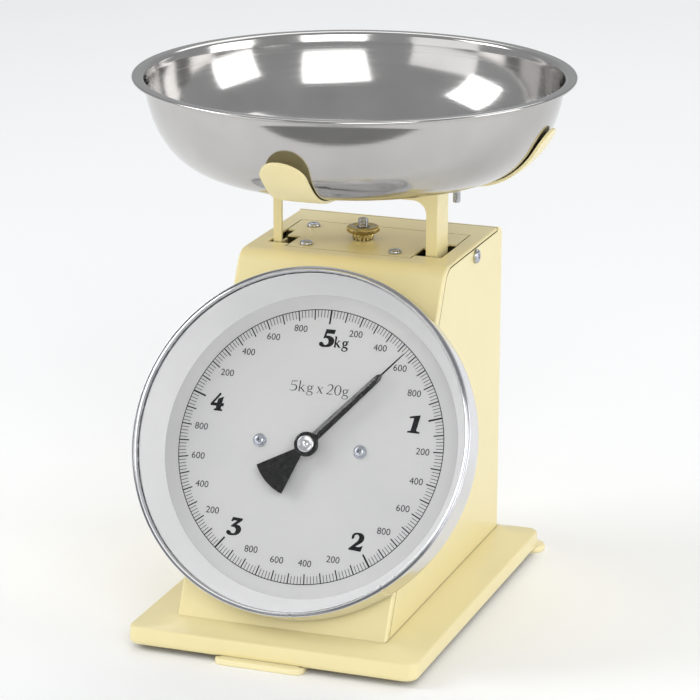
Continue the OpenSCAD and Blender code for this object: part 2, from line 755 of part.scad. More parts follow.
// Sweeps a hexagonal wire along a path
module swept_wire(path, r) {
    n = len(path);
    function dir(i) = unit(path[min(n - 1, i + 1)] - path[max(0, i - 1)]);
    function side(i) = let (d = dir(i), ref = abs(d.z) > 0.8 ? [0, 1, 0] : [0, 0, 1]) unit(cross(d, ref));
    function ring(i) = let (d = dir(i), a = side(i), b = cross(d, a))
        [for (k = [0:sides - 1]) path[i] + r * (a * cos(360 * k / sides) + b * sin(360 * k / sides))];
    polyhedron(
        points = [for (i = [0:n - 1]) each ring(i)],
        faces = concat(
            [[for (k = [0:sides - 1]) k]],
            [[for (k = [sides - 1:-1:0]) (n - 1) * sides + k]],
            [for (i = [0:n - 2]) for (k = [0:sides - 1])
                let (a = i * sides + k, b = i * sides + (k + 1) % sides)
                [a, a + sides, b + sides, b]]));
}

module spring(side) color([0.66, 0.67, 0.7])
    translate([stud_x + side * spring_pitch, stud_y, 0]) swept_wire(spring_path(), wire / 2);
module spring_left() spring(-1);
module spring_right() spring(1);

// ---- cradle and bowl ----

// Plan of the four arms, flared into each other around the middle
module cradle_plan() {
    reach = 120;
    flare_at = 75;
    flare_r = flare_at - arm_w / 2;
    for (a = [0, 90]) rotate(a) square([2 * reach, arm_w], center = true);
    difference() {
        square(2 * flare_at, center = true);
        for (a = [45:90:315]) rotate(a) translate([flare_at * sqrt(2), 0]) circle(r = flare_r);
    }
}

// Tall blocks with round tops that cut each arm's tip
module arm_tips() {
    tip_r = arm_w / 2;
    rise = 0.8 * tip_r;             // a half circle in the sloping sheet
    for (a = [0:90:270]) rotate(a) rotate([90, 0, 90]) linear_extrude(125) polygon(concat(
        [[-tip_r, bowl_floor_z], [tip_r, bowl_floor_z]],
        [for (t = [0:10:180]) [tip_r * cos(t), arm_tip_z - rise + rise * sin(t)]]));
}

cradle_gap = 0.35;
// The bowl's outline, leaning away from it towards the arm tips
function cradle_side(grow) = [
    for (p = bowl_side(grow))
        [p.x + arm_stand_off * pow(max(0, p.y - bowl_floor_z) / (arm_tip_z - bowl_floor_z), 2), p.y]
];

module cradle() color([0.93, 0.87, 0.67]) translate([0, bowl_y, 0]) difference() {
    intersection() {
        rotate_extrude() difference() {
            polygon(concat([[0, 300]], [[wall_r + 20, 300]],
                cradle_side(cradle_gap + cradle_t), [[0, bowl_floor_z - cradle_gap - cradle_t]]));
            polygon(concat([[-1, 310]], [[wall_r + 19, 310]],
                cradle_side(cradle_gap), [[-1, bowl_floor_z - cradle_gap]]));
        }
        linear_extrude(300) cradle_plan();
        union() {
            translate([0, 0, yoke_top_z - 1]) cylinder(r = 100, h = 8);
            arm_tips();
        }
    }
    for (s = [-1, 1]) translate([s * cradle_screw_x, cradle_screw_y - bowl_y, yoke_top_z - 3])
        cylinder(r = cradle_screw_hole_r, h = 6);
}

module cradle_screws() color([0.8, 0.8, 0.82])
    mirrored_x() translate([cradle_screw_x, cradle_screw_y, 0]) {
        translate([0, 0, cradle_screw_low])
            cylinder(r = cradle_screw_r, h = yoke_top_z + cradle_t - cradle_screw_low);
        translate([0, 0, yoke_top_z - steel_t - 2.4]) difference() {
            cylinder(r = 3.8, h = 2.4, $fn = 6);
            translate([0, 0, -1]) cylinder(r = cradle_screw_r, h = 5);
        }
    }

module bowl() color([0.75, 0.75, 0.77]) translate([0, bowl_y, 0]) rotate_extrude() polygon(concat(
    [[bowl_r - 0.6, bowl_rim_z - 1.6], [bowl_r, bowl_rim_z - 0.9], [bowl_r - 0.6, bowl_rim_z]],
    [[wall_r - bowl_t, bowl_rim_z]],
    bowl_side(-bowl_t),
    [[0, bowl_floor_z + bowl_t], [0, bowl_floor_z]],
    reversed(bowl_side(0))));

place() base_tray();
place() front_foot();
place() rear_foot();
place() base_screws();
place() front_cover();
place() rear_cover();
place() cover_screws();
place() chassis_frame();
place() top_crossbar();
place() bridge_plate();
place() bridge_screws();
place() mechanism_frame();
place() shaft_bushes();
place() dial_housing();
place() dial_face();
place() dial_screws();
place() dial_ring();
place() lens();
place() bezel();
place() pointer_shaft();
place() pinion();
place() pointer();
place() pointer_cap();
place() rack();
place() rack_arm();
place() yoke();
place() spring_anchor();
place() link_pins();
place() cradle();
place() cradle_screws();
place() upper_link();
place() lower_link();
place() zero_nut();
place() adjuster_stud();
place() spring_hanger();
place() spring_left();
place() spring_right();
place() bowl();
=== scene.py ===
import json
import math

import bmesh
import bpy
from mathutils import Matrix, Vector


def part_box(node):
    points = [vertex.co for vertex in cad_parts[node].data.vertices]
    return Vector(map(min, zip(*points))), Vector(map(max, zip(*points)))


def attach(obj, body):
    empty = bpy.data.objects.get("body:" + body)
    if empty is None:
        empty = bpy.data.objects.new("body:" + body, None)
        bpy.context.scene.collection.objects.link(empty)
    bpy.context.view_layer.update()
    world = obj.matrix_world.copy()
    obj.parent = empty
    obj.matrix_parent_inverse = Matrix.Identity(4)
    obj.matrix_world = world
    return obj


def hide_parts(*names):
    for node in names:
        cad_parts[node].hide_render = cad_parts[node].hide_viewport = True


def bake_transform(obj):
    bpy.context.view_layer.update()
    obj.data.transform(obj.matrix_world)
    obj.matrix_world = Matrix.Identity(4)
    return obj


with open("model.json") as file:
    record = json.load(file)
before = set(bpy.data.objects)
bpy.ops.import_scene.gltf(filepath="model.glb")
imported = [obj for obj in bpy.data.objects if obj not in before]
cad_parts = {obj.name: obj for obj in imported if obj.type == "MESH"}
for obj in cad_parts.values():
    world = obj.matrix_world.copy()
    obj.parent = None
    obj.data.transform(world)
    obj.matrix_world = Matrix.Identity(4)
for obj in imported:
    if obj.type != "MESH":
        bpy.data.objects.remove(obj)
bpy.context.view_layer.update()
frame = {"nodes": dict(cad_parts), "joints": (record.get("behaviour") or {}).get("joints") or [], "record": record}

MM = 0.001
TAU = 2 * math.pi
NODES = frame["nodes"]
JOINTS = {j["name"]: j for j in frame["joints"]}


# ---- places, read from the frame ----

DIAL_AT = Vector(JOINTS["pointer_spin"]["pos_m"])
DIAL_OUT = -Vector(JOINTS["pointer_spin"]["axis"]).normalized()
X_AXIS = Vector((1, 0, 0))


def frame_at(origin, out):
    """A frame whose local Z is out and whose local X stays level."""
    up = out.cross(X_AXIS).normalized()
    rows = [[X_AXIS[i], up[i], out[i], origin[i]] for i in range(3)]
    return Matrix(rows + [[0, 0, 0, 1]])


DIAL = frame_at(DIAL_AT, DIAL_OUT)


def local_box(node, matrix):
    """Lowest and highest corner of a CAD node in a frame of its own."""
    inverse = matrix.inverted()
    points = [inverse @ v.co for v in NODES[node].data.vertices]
    low = Vector([min(p[i] for p in points) for i in range(3)])
    high = Vector([max(p[i] for p in points) for i in range(3)])
    return low, high


def upright(x, y):
    return Matrix.Translation(Vector((x, y, 0)))


# ---- materials ----

def principled(name, color, **values):
    """A new material with these constants on its shader. Returns the material and its node tree."""
    material = bpy.data.materials.new(name)
    material.use_nodes = True
    shader = material.node_tree.nodes["Principled BSDF"]
    shader.inputs["Base Color"].default_value = (*color, 1)
    for socket, value in values.items():
        shader.inputs[socket.replace("_", " ")].default_value = value
    material.diffuse_color = (*color, 1)
    return material, material.node_tree


def surface_point(tree, centre=(0, 0, 0), scale=(1, 1, 1)):
    place = tree.nodes.new("ShaderNodeTexCoord")
    mapping = tree.nodes.new("ShaderNodeMapping")
    mapping.inputs["Location"].default_value = [-c * s for c, s in zip(centre, scale)]
    mapping.inputs["Scale"].default_value = scale
    tree.links.new(place.outputs["Object"], mapping.inputs["Vector"])
    return mapping.outputs["Vector"]


def rings(tree, centre, matrix=None):
    """A coordinate that is the same all the way round an axis: distance from it, and height along it."""
    place = tree.nodes.new("ShaderNodeTexCoord")
    mapping = tree.nodes.new("ShaderNodeMapping")
    mapping.vector_type = "TEXTURE"
    mapping.inputs["Location"].default_value = centre
    if matrix is not None:
        mapping.inputs["Rotation"].default_value = matrix.to_euler()
    tree.links.new(place.outputs["Object"], mapping.inputs["Vector"])
    parts = tree.nodes.new("ShaderNodeSeparateXYZ")
    tree.links.new(mapping.outputs["Vector"], parts.inputs["Vector"])
    flat = tree.nodes.new("ShaderNodeCombineXYZ")
    for axis in "XY":
        tree.links.new(parts.outputs[axis], flat.inputs[axis])
    length = tree.nodes.new("ShaderNodeVectorMath")
    length.operation = "LENGTH"
    tree.links.new(flat.outputs["Vector"], length.inputs[0])
    ring = tree.nodes.new("ShaderNodeCombineXYZ")
    tree.links.new(length.outputs["Value"], ring.inputs["X"])
    tree.links.new(parts.outputs["Z"], ring.inputs["Y"])
    return ring.outputs["Vector"]


def noise(tree, scale, detail=3.0, vector=None):
    texture = tree.nodes.new("ShaderNodeTexNoise")
    texture.inputs["Scale"].default_value = scale
    texture.inputs["Detail"].default_value = detail
    tree.links.new(vector or surface_point(tree), texture.inputs["Vector"])
    return texture.outputs["Fac"]


def spread(tree, value, low, high, start=0.3, end=0.7):
    """Maps a noise value onto a range."""
    node = tree.nodes.new("ShaderNodeMapRange")
    node.inputs["From Min"].default_value = start
    node.inputs["From Max"].default_value = end
    node.inputs["To Min"].default_value = low
    node.inputs["To Max"].default_value = high
    tree.links.new(value, node.inputs["Value"])
    return node.outputs["Result"]


def drive(tree, socket, value):
    tree.links.new(value, tree.nodes["Principled BSDF"].inputs[socket])


def gloss(tree, value, low, high):
    """Roughness that a noise value moves between low and high."""
    drive(tree, "Roughness", spread(tree, value, low, high))


def base_mix(tree, dark, factor):
    """The base colour as a mix that starts at dark. The caller fills in its other end, B."""
    mix = tree.nodes.new("ShaderNodeMix")
    mix.data_type = "RGBA"
    mix.inputs["A"].default_value = (*dark, 1)
    tree.links.new(factor, mix.inputs["Factor"])
    drive(tree, "Base Color", mix.outputs["Result"])
    return mix


def tint(tree, value, dark, light):
    """Base colour that wanders between two close colours. Returns it."""
    mix = base_mix(tree, dark, spread(tree, value, 0, 1))
    mix.inputs["B"].default_value = (*light, 1)
    return mix.outputs["Result"]


def crevices(tree, paint, dark, reach):
    """Painted shade: darkens the paint inside seams and folds by ambient occlusion, where shade falls."""
    shade = tree.nodes.new("ShaderNodeAmbientOcclusion")
    shade.samples = 6
    shade.inputs["Distance"].default_value = reach
    mix = base_mix(tree, dark, spread(tree, shade.outputs["AO"], 0, 1, 0.3, 0.75))
    tree.links.new(paint, mix.inputs["B"])


def relief(tree, value, strength, distance):
    bump = tree.nodes.new("ShaderNodeBump")
    bump.inputs["Strength"].default_value = strength
    bump.inputs["Distance"].default_value = distance
    tree.links.new(value, bump.inputs["Height"])
    drive(tree, "Normal", bump.outputs["Normal"])


def enamel_paint():
    """Stoved enamel: even cream, faint orange peel, slightly wandering gloss."""
    material, tree = principled("enamel", (0.86, 0.75, 0.38), Coat_Weight=0.35, Coat_Roughness=0.14)
    paint = tint(tree, noise(tree, 26), (0.85, 0.74, 0.385), (0.88, 0.77, 0.415))
    # painted shade: the enamel darkens towards dark brown inside seams and folds, by ambient occlusion
    crevices(tree, paint, (0.10, 0.07, 0.02), 1.5 * MM)
    gloss(tree, noise(tree, 60), 0.28, 0.37)
    relief(tree, noise(tree, 210, 1.0), 0.03, 0.0004)
    return material


def foot_plastic():
    """Moulded plastic, a shade paler than the enamel."""
    material, tree = principled("foot_plastic", (0.92, 0.83, 0.50))
    tint(tree, noise(tree, 40), (0.90, 0.80, 0.47), (0.94, 0.85, 0.52))
    gloss(tree, noise(tree, 300), 0.38, 0.46)
    relief(tree, noise(tree, 500, 1.0), 0.03, 0.0002)
    return material


def zinc_plate():
    """Bright zinc on steel: blue-white, with soft spangle and fine scratches."""
    material, tree = principled("zinc", (0.50, 0.52, 0.57), Metallic=1.0)
    tint(tree, noise(tree, 180), (0.44, 0.46, 0.52), (0.57, 0.59, 0.63))
    gloss(tree, noise(tree, 420, 3.0), 0.2, 0.3)
    relief(tree, noise(tree, 900, 1.0), 0.04, 0.0001)
    return material


def spun_steel(centre):
    """Polished stainless steel, with the rings that spinning leaves round the bowl's axis."""
    material, tree = principled("bowl_steel", (0.50, 0.49, 0.48), Metallic=1.0)
    lines = noise(tree, 1400, 4.0, rings(tree, centre))
    cloud = noise(tree, 30, 2.0)
    tint(tree, cloud, (0.47, 0.46, 0.45), (0.53, 0.52, 0.51))
    gloss(tree, lines, 0.08, 0.16)
    relief(tree, lines, 0.05, 0.00015)
    return material


def chrome_plate():
    """Satin chrome with a trace of wiping haze."""
    material, tree = principled("chrome", (0.76, 0.76, 0.78), Metallic=1.0)
    paint = tint(tree, noise(tree, 90), (0.74, 0.74, 0.76), (0.78, 0.78, 0.80))
    # painted shade: the chrome darkens to near black inside seams and recesses, by ambient occlusion
    crevices(tree, paint, (0.03, 0.03, 0.035), 1.0 * MM)
    gloss(tree, noise(tree, 60, 3.0), 0.12, 0.18)
    return material


def dial_paint():
    """Satin light grey, as screen-printed over lacquered metal."""
    material, tree = principled("dial_paper", (0.435, 0.435, 0.435), Specular_IOR_Level=0.35)
    tint(tree, noise(tree, 22), (0.425, 0.425, 0.425), (0.445, 0.445, 0.443))
    gloss(tree, noise(tree, 500), 0.42, 0.55)
    relief(tree, noise(tree, 2200, 2.0), 0.06, 0.0001)
    return material


def ring_paint():
    material, tree = principled("dial_rim", (0.66, 0.66, 0.665), Coat_Weight=0.15, Coat_Roughness=0.2)
    tint(tree, noise(tree, 30), (0.645, 0.645, 0.65), (0.675, 0.675, 0.68))
    gloss(tree, noise(tree, 400), 0.3, 0.4)
    relief(tree, noise(tree, 1800, 2.0), 0.05, 0.0001)
    return material


def black_paint():
    """Satin black on the pointer, its tone wandering a little at random."""
    material, tree = principled("pointer_black", (0.02, 0.02, 0.02), Specular_IOR_Level=0.4)
    tint(tree, noise(tree, 420), (0.008, 0.008, 0.008), (0.014, 0.014, 0.014))
    gloss(tree, noise(tree, 300), 0.16, 0.24)
    return material


def printing_ink():
    material, tree = principled("ink", (0.01, 0.01, 0.011), Specular_IOR_Level=0.1)
    tint(tree, noise(tree, 700), (0.006, 0.006, 0.007), (0.016, 0.016, 0.017))
    gloss(tree, noise(tree, 1500), 0.45, 0.65)
    return material


def turned_brass(centre):
    """Brass with the turning marks of a lathe."""
    material, tree = principled("brass", (0.46, 0.36, 0.15), Metallic=1.0)
    lines = noise(tree, 2600, 3.0, rings(tree, centre))
    paint = tint(tree, noise(tree, 300), (0.40, 0.32, 0.13), (0.56, 0.45, 0.20))
    # painted shade: the brass darkens towards dark brown in its hollows and grooves, by ambient occlusion
    crevices(tree, paint, (0.08, 0.05, 0.015), 1.2 * MM)
    gloss(tree, lines, 0.16, 0.34)
    relief(tree, lines, 0.1, 0.0001)
    return material


def clear_plastic():
    """The lens: clear, with the faintest handling marks in its gloss."""
    material, tree = principled("lens", (0.99, 0.99, 0.99), Transmission_Weight=1.0, IOR=1.1)
    gloss(tree, noise(tree, 120, 4.0), 0.0, 0.03)
    return material


def studio_paper():
    material, tree = principled("studio_paper", (0.96, 0.96, 0.96), Roughness=0.8, Specular_IOR_Level=0.1)
    tint(tree, noise(tree, 3), (0.955, 0.955, 0.955), (0.965, 0.965, 0.965))
    return material


NUT_AT = Vector(JOINTS["nut_turn"]["pos_m"])
BOWL_LOW, BOWL_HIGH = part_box("bowl")
BOWL_AT = (BOWL_LOW + BOWL_HIGH) / 2
MATERIALS = {
    "enamel": enamel_paint(),
    "foot_plastic": foot_plastic(),
    "zinc": zinc_plate(),
    "bowl_steel": spun_steel(BOWL_AT),
    "chrome": chrome_plate(),
    "dial_paper": dial_paint(),
    "dial_rim": ring_paint(),
    "pointer_black": black_paint(),
    "brass": turned_brass(NUT_AT),
    "lens": clear_plastic(),
}
INK = printing_ink()
SLOT_OF = {part["node"]: part["material_slot"] for part in frame["record"]["subparts"]}

for node_name, node_object in NODES.items():
    node_object.data.materials.clear()
    node_object.data.materials.append(MATERIALS[SLOT_OF[node_name]])


# ---- mesh tools ----

def piece(name, verts, faces, body, slot, *replaced, material=None, sharp=35, matrix=None):
    """A finished mesh piece: placed, shaded, given its material, and riding on its body."""
    mesh = bpy.data.meshes.new(name)
    mesh.from_pydata([tuple(v) for v in verts], [], faces)
    if matrix is not None:
        mesh.transform(matrix)
    return dress(bpy.data.objects.new(name, mesh), body, slot, *replaced, material=material, sharp=sharp)


def dress(obj, body, slot, *replaced, material=None, sharp=35):
    """Cleans and shades a mesh object, gives it the material of its slot, and rides it on its body."""
    if obj.name not in bpy.context.scene.collection.objects:
        bpy.context.scene.collection.objects.link(obj)
    bm = bmesh.new()
    bm.from_mesh(obj.data)
    bmesh.ops.remove_doubles(bm, verts=bm.verts, dist=1e-6)
    bmesh.ops.recalc_face_normals(bm, faces=bm.faces)
    for face in bm.faces:
        face.smooth = True
    limit = math.radians(sharp)
    for edge in bm.edges:
        edge.smooth = not (len(edge.link_faces) == 2 and edge.calc_face_angle() > limit)
    bm.to_mesh(obj.data)
    bm.free()
    obj.data.materials.clear()
    obj.data.materials.append(material or MATERIALS[slot])
    if replaced:
        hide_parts(*replaced)
    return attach(obj, body)


def joined(parts):
    """Puts several (verts, faces) lists together."""
    verts, faces = [], []
    for part_verts, part_faces in parts:
        start = len(verts)
        verts += part_verts
        faces += [[start + i for i in face] for face in part_faces]
    return verts, faces


def lathe(profile, steps=128, wobble=None):
    """Turns a closed (radius, height) profile about Z. wobble(angle, r, z) may change the radius."""
    verts, faces = [], []
    count = len(profile)
    for k in range(steps):
        a = TAU * k / steps
        for r, z in profile:
            radius = wobble(a, r, z) if wobble else r
            verts.append(Vector((radius * math.cos(a), radius * math.sin(a), z)))
    for k in range(steps):
        for i in range(count):
            j, m = (i + 1) % count, (k + 1) % steps
            quad = [k * count + i, k * count + j, m * count + j, m * count + i]
            if profile[i][0] < 1e-7 and profile[j][0] < 1e-7:
                continue
            faces.append(quad)
    return verts, faces


def arc(centre, radius, start, end, steps=6):
    """Points of an arc, angles in degrees, in the (r, z) plane."""
    out = []
    for i in range(steps + 1):
        a = math.radians(start + (end - start) * i / steps)
        out.append((centre[0] + radius * math.cos(a), centre[1] + radius * math.sin(a)))
    return out


def grid_faces(rows, columns, closed=False):
    """Quads between neighbouring rows of points, joined round the end of each row where closed."""
    faces = []
    for i in range(rows - 1):
        for k in range(columns if closed else columns - 1):
            n = (k + 1) % columns
            faces.append([i * columns + k, i * columns + n, (i + 1) * columns + n, (i + 1) * columns + k])
    return faces


def break_edges(obj, width, segments=2):
    bevel = obj.modifiers.new("edge", "BEVEL")
    bevel.width = width
    bevel.segments = segments
    bevel.limit_method = "ANGLE"
    bevel.angle_limit = math.radians(50)
    bevel.harden_normals = True


def end_caps(rows, columns):
    """The faces that close both ends of a closed grid."""
    last = (rows - 1) * columns
    return [list(range(columns))[::-1], [last + k for k in range(columns)]]


def thickened(obj, thickness, edge=0.0, segments=2):
    """Gives an open sheet its thickness, and rounds the cut edges."""
    solid = obj.modifiers.new("sheet", "SOLIDIFY")
    solid.thickness = thickness
    solid.offset = -1
    solid.use_even_offset = True
    if edge:
        break_edges(obj, edge, segments)
    return apply_modifiers(obj)


def apply_modifiers(obj):
    bpy.context.view_layer.update()
    evaluated = obj.evaluated_get(bpy.context.evaluated_depsgraph_get())
    mesh = bpy.data.meshes.new_from_object(evaluated)
    obj.modifiers.clear()
    obj.data = mesh
    return obj


def evenly_shaded(obj):
    """Lets the large faces lead the shading, so that a small bevel reads as a soft edge."""
    shading = obj.modifiers.new("shading", "WEIGHTED_NORMAL")
    shading.keep_sharp = True
    return apply_modifiers(obj)


def softened(node, name, body, edge, wide=None, wide_edge=0.0, segments=2):
    """A CAD node rebuilt with its edges broken. Edges that wide() picks get a bend of wide_edge instead."""
    mesh = NODES[node].data.copy()
    bm = bmesh.new()
    bm.from_mesh(mesh)
    bmesh.ops.remove_doubles(bm, verts=bm.verts, dist=2e-6)
    bmesh.ops.dissolve_limit(bm, angle_limit=math.radians(0.5), verts=bm.verts, edges=bm.edges)
    bmesh.ops.recalc_face_normals(bm, faces=bm.faces)
    passes = [(lambda e: e.calc_face_angle() > math.radians(40), edge, segments)]
    if wide:
        passes.insert(0, (wide, wide_edge, 6))
    for picks, offset, steps in passes:
        chosen = [e for e in bm.edges if len(e.link_faces) == 2 and picks(e)]
        bmesh.ops.bevel(bm, geom=chosen, offset=offset, segments=steps, profile=0.5,
                        affect="EDGES", clamp_overlap=True)
    bm.to_mesh(mesh)
    bm.free()
    return evenly_shaded(dress(bpy.data.objects.new(name, mesh), body, SLOT_OF[node], node, sharp=50))


# ---- casing ----

def bend_edge(edge):
    """The long edges where the front cover folds round from its face and top into its side flanges."""
    side = [f for f in edge.link_faces if abs(f.normal.x) > 0.9]
    other = [f for f in edge.link_faces if abs(f.normal.x) < 0.1]
    if not side or not other:
        return False
    normal = other[0].normal
    outer = max(abs(v.co.x) for v in edge.verts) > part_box("front_cover")[1].x - 0.1 * MM
    return outer and (normal.y < -0.3 or normal.z > 0.5)


def leg_fold(edge):
    """The upright fold at the outer front corner of each of the yoke's legs."""
    a, b = (v.co for v in edge.verts)
    upright_edge = abs(a.z - b.z) > 20 * MM and abs(a.x - b.x) < 0.01 * MM
    return upright_edge and abs(a.x) > 43 * MM and a.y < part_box("yoke")[0].y + 0.1 * MM


softened("front_cover", "front_cover_sheet", "casing", edge=0.14 * MM, wide=bend_edge, wide_edge=2.0 * MM)
softened("rear_cover", "rear_cover_sheet", "casing", edge=0.14 * MM)
softened("bridge_plate", "bridge_plate_sheet", "casing", edge=0.16 * MM)
softened("yoke", "yoke_bracket", "platform", edge=0.35 * MM, wide=leg_fold, wide_edge=2.4 * MM)
softened("front_foot", "front_foot_tongue", "casing", edge=0.8 * MM, segments=3)
softened("rear_foot", "rear_foot_bar", "casing", edge=0.8 * MM, segments=3)


def rounded_ring(front, rear, half_width, radius, z, corner_steps=8, side_steps=6):
    """Points round a rectangle with rounded corners, counter-clockwise, always the same number."""
    out = []
    corners = [(half_width - radius, front + radius, -90), (half_width - radius, rear - radius, 0),
               (radius - half_width, rear - radius, 90), (radius - half_width, front + radius, 180)]
    for k, (x, y, start) in enumerate(corners):
        for i in range(corner_steps + 1):
            a = math.radians(start + 90 * i / corner_steps)
            out.append(Vector((x + radius * math.cos(a), y + radius * math.sin(a), z)))
        nx, ny, turn = corners[(k + 1) % 4]
        a = math.radians(turn)
        last, following = out[-1], Vector((nx + radius * math.cos(a), ny + radius * math.sin(a), z))
        for i in range(1, side_steps):
            out.append(last.lerp(following, i / side_steps))
    return out


def tray():
    """The pressed base: a rolled lip, an upright wall, a soft shoulder and a top that rises to the casing."""
    low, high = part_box("base_tray")
    casing_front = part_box("front_cover")[0].y
    casing_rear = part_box("rear_cover")[1]
    margin = 1.6 * MM
    inner = dict(front=casing_front - margin, rear=casing_rear.y + margin, half=casing_rear.x + margin)
    corner = 6.0 * MM
    corner_loss = 0.4                      # how much of an inset comes off the corner's radius
    shoulder = 1.2 * MM
    edge_z = low.z + 9.2 * MM
    plateau = high.z
    rim = [(2.0, 0.0), (1.2, 0.25), (0.55, 0.8), (0.14, 1.7), (0.0, 2.8), (0.05, 4.6), (0.2, 6.6)]
    stations = [(inset * MM, low.z + rise * MM) for inset, rise in rim]
    for i in range(7):
        a = math.radians(90 * i / 6 * 0.86)
        inset = 0.25 * MM + shoulder * (1 - math.cos(a))
        stations.append((inset, edge_z - shoulder + shoulder * math.sin(a)))
    rings_out = []
    for inset, z in stations:
        radius = corner - inset * corner_loss
        rings_out.append(rounded_ring(low.y + inset, high.y - inset, high.x - inset, radius, z))
    start_inset, start_z = stations[-1]
    for i in range(1, 13):
        t = i / 12
        rise = 0.5 * t + 0.5 * (t * t * (3 - 2 * t))
        front = (low.y + start_inset) * (1 - t) + inner["front"] * t
        rear = (high.y - start_inset) * (1 - t) + inner["rear"] * t
        half = (high.x - start_inset) * (1 - t) + inner["half"] * t
        radius = (corner - start_inset * corner_loss) * (1 - t) + 2.5 * MM * t + 36 * MM * t * (1 - t)
        rings_out.append(rounded_ring(front, rear, half, radius, start_z + (plateau - start_z) * rise))
    rings_out.append(rounded_ring(inner["front"] + 4 * MM, inner["rear"] - 4 * MM, inner["half"] - 4 * MM,
                                  1.5 * MM, plateau))
    columns = len(rings_out[0])
    verts = [p for ring in rings_out for p in ring]
    faces = grid_faces(len(rings_out), columns, closed=True)
    faces.append([(len(rings_out) - 1) * columns + k for k in range(columns)])
    obj = piece("base_tray_pressing", verts, faces, "casing", "enamel", "base_tray", sharp=60)
    return thickened(obj, 1.0 * MM)


tray()


# ---- bowl and cradle ----

RIM_WIDTH = 6.0 * MM
RIM_R = BOWL_HIGH.x
WALL_R = RIM_R - RIM_WIDTH + 0.4 * MM
FLOOR_R = 65.5 * MM
WALL_TOP = BOWL_HIGH.z + 6.9 * MM       # where the wall's curve would stand upright
BOWL_POWER = 2.18
BOWL_T = 0.8 * MM
FLOOR_STEPS = (0, 0.25, 0.5, 0.75, 0.9)


def bowl_curve(grow, steps=40):
    """The bowl's wall from the rim down to the floor, grown outwards by grow."""
    depth = WALL_TOP - BOWL_LOW.z
    first = (WALL_TOP - BOWL_HIGH.z) / depth
    out = []
    for i in range(steps + 1):
        s = first + (1 - first) * math.sin(math.pi / 2 * i / steps)
        r = FLOOR_R + (WALL_R - FLOOR_R) * max(0.0, 1 - s ** BOWL_POWER) ** (1 / BOWL_POWER)
        slope = min(1.0, s * s)
        out.append((r + grow * (1 - 0.55 * slope), WALL_TOP - s * depth - grow * slope))
    return out


def bowl():
    """The spun bowl: one sheet, its rim bent out flat and hemmed into a bead."""
    top = BOWL_HIGH.z
    bead = 0.85 * MM
    lip_r = 1.6 * MM
    outside = [p for p in bowl_curve(0) if p[1] < top - 3.4 * MM]
    inside = [p for p in bowl_curve(-BOWL_T) if p[1] < top - 2.6 * MM]
    hem = (RIM_R - bead, top - bead)
    profile = [(FLOOR_R * k, BOWL_LOW.z) for k in FLOOR_STEPS]
    profile += outside[::-1]
    bend = (WALL_R + lip_r, top - BOWL_T - lip_r)
    profile += arc(bend, lip_r, 180, 95, 6)
    profile += [(RIM_R - 2.4 * MM, top - BOWL_T)]
    profile += arc(hem, bead, -110, 100, 10)
    profile += [(RIM_R - 3.0 * MM, top - 0.02 * MM)]
    profile += arc(bend, lip_r + BOWL_T - 0.03 * MM, 92, 180, 8)
    profile += inside
    profile += [(FLOOR_R * k, BOWL_LOW.z + BOWL_T) for k in FLOOR_STEPS[::-1]]
    verts, faces = lathe(profile, 256)
    return piece("bowl_spun", verts, faces, "bowl", "bowl_steel", "bowl", sharp=60,
                 matrix=upright(BOWL_AT.x, BOWL_AT.y))


bowl()


def radius_at(curve, z):
    """Radius of a falling (r, z) curve at a height."""
    for (r0, z0), (r1, z1) in zip(curve, curve[1:]):
        if z1 <= z <= z0:
            return r0 + (r1 - r0) * ((z0 - z) / (z0 - z1) if z0 > z1 else 0)
    return curve[0][0] if z > curve[0][1] else curve[-1][0]


# Right, rear, left and front arm: how far each tip stands off the bowl, and how far above the CAD's it ends
ARM_TIPS = [(1.0 * MM, 1.0 * MM), (3.0 * MM, 0), (3.0 * MM, 0), (6.0 * MM, -1.0 * MM)]


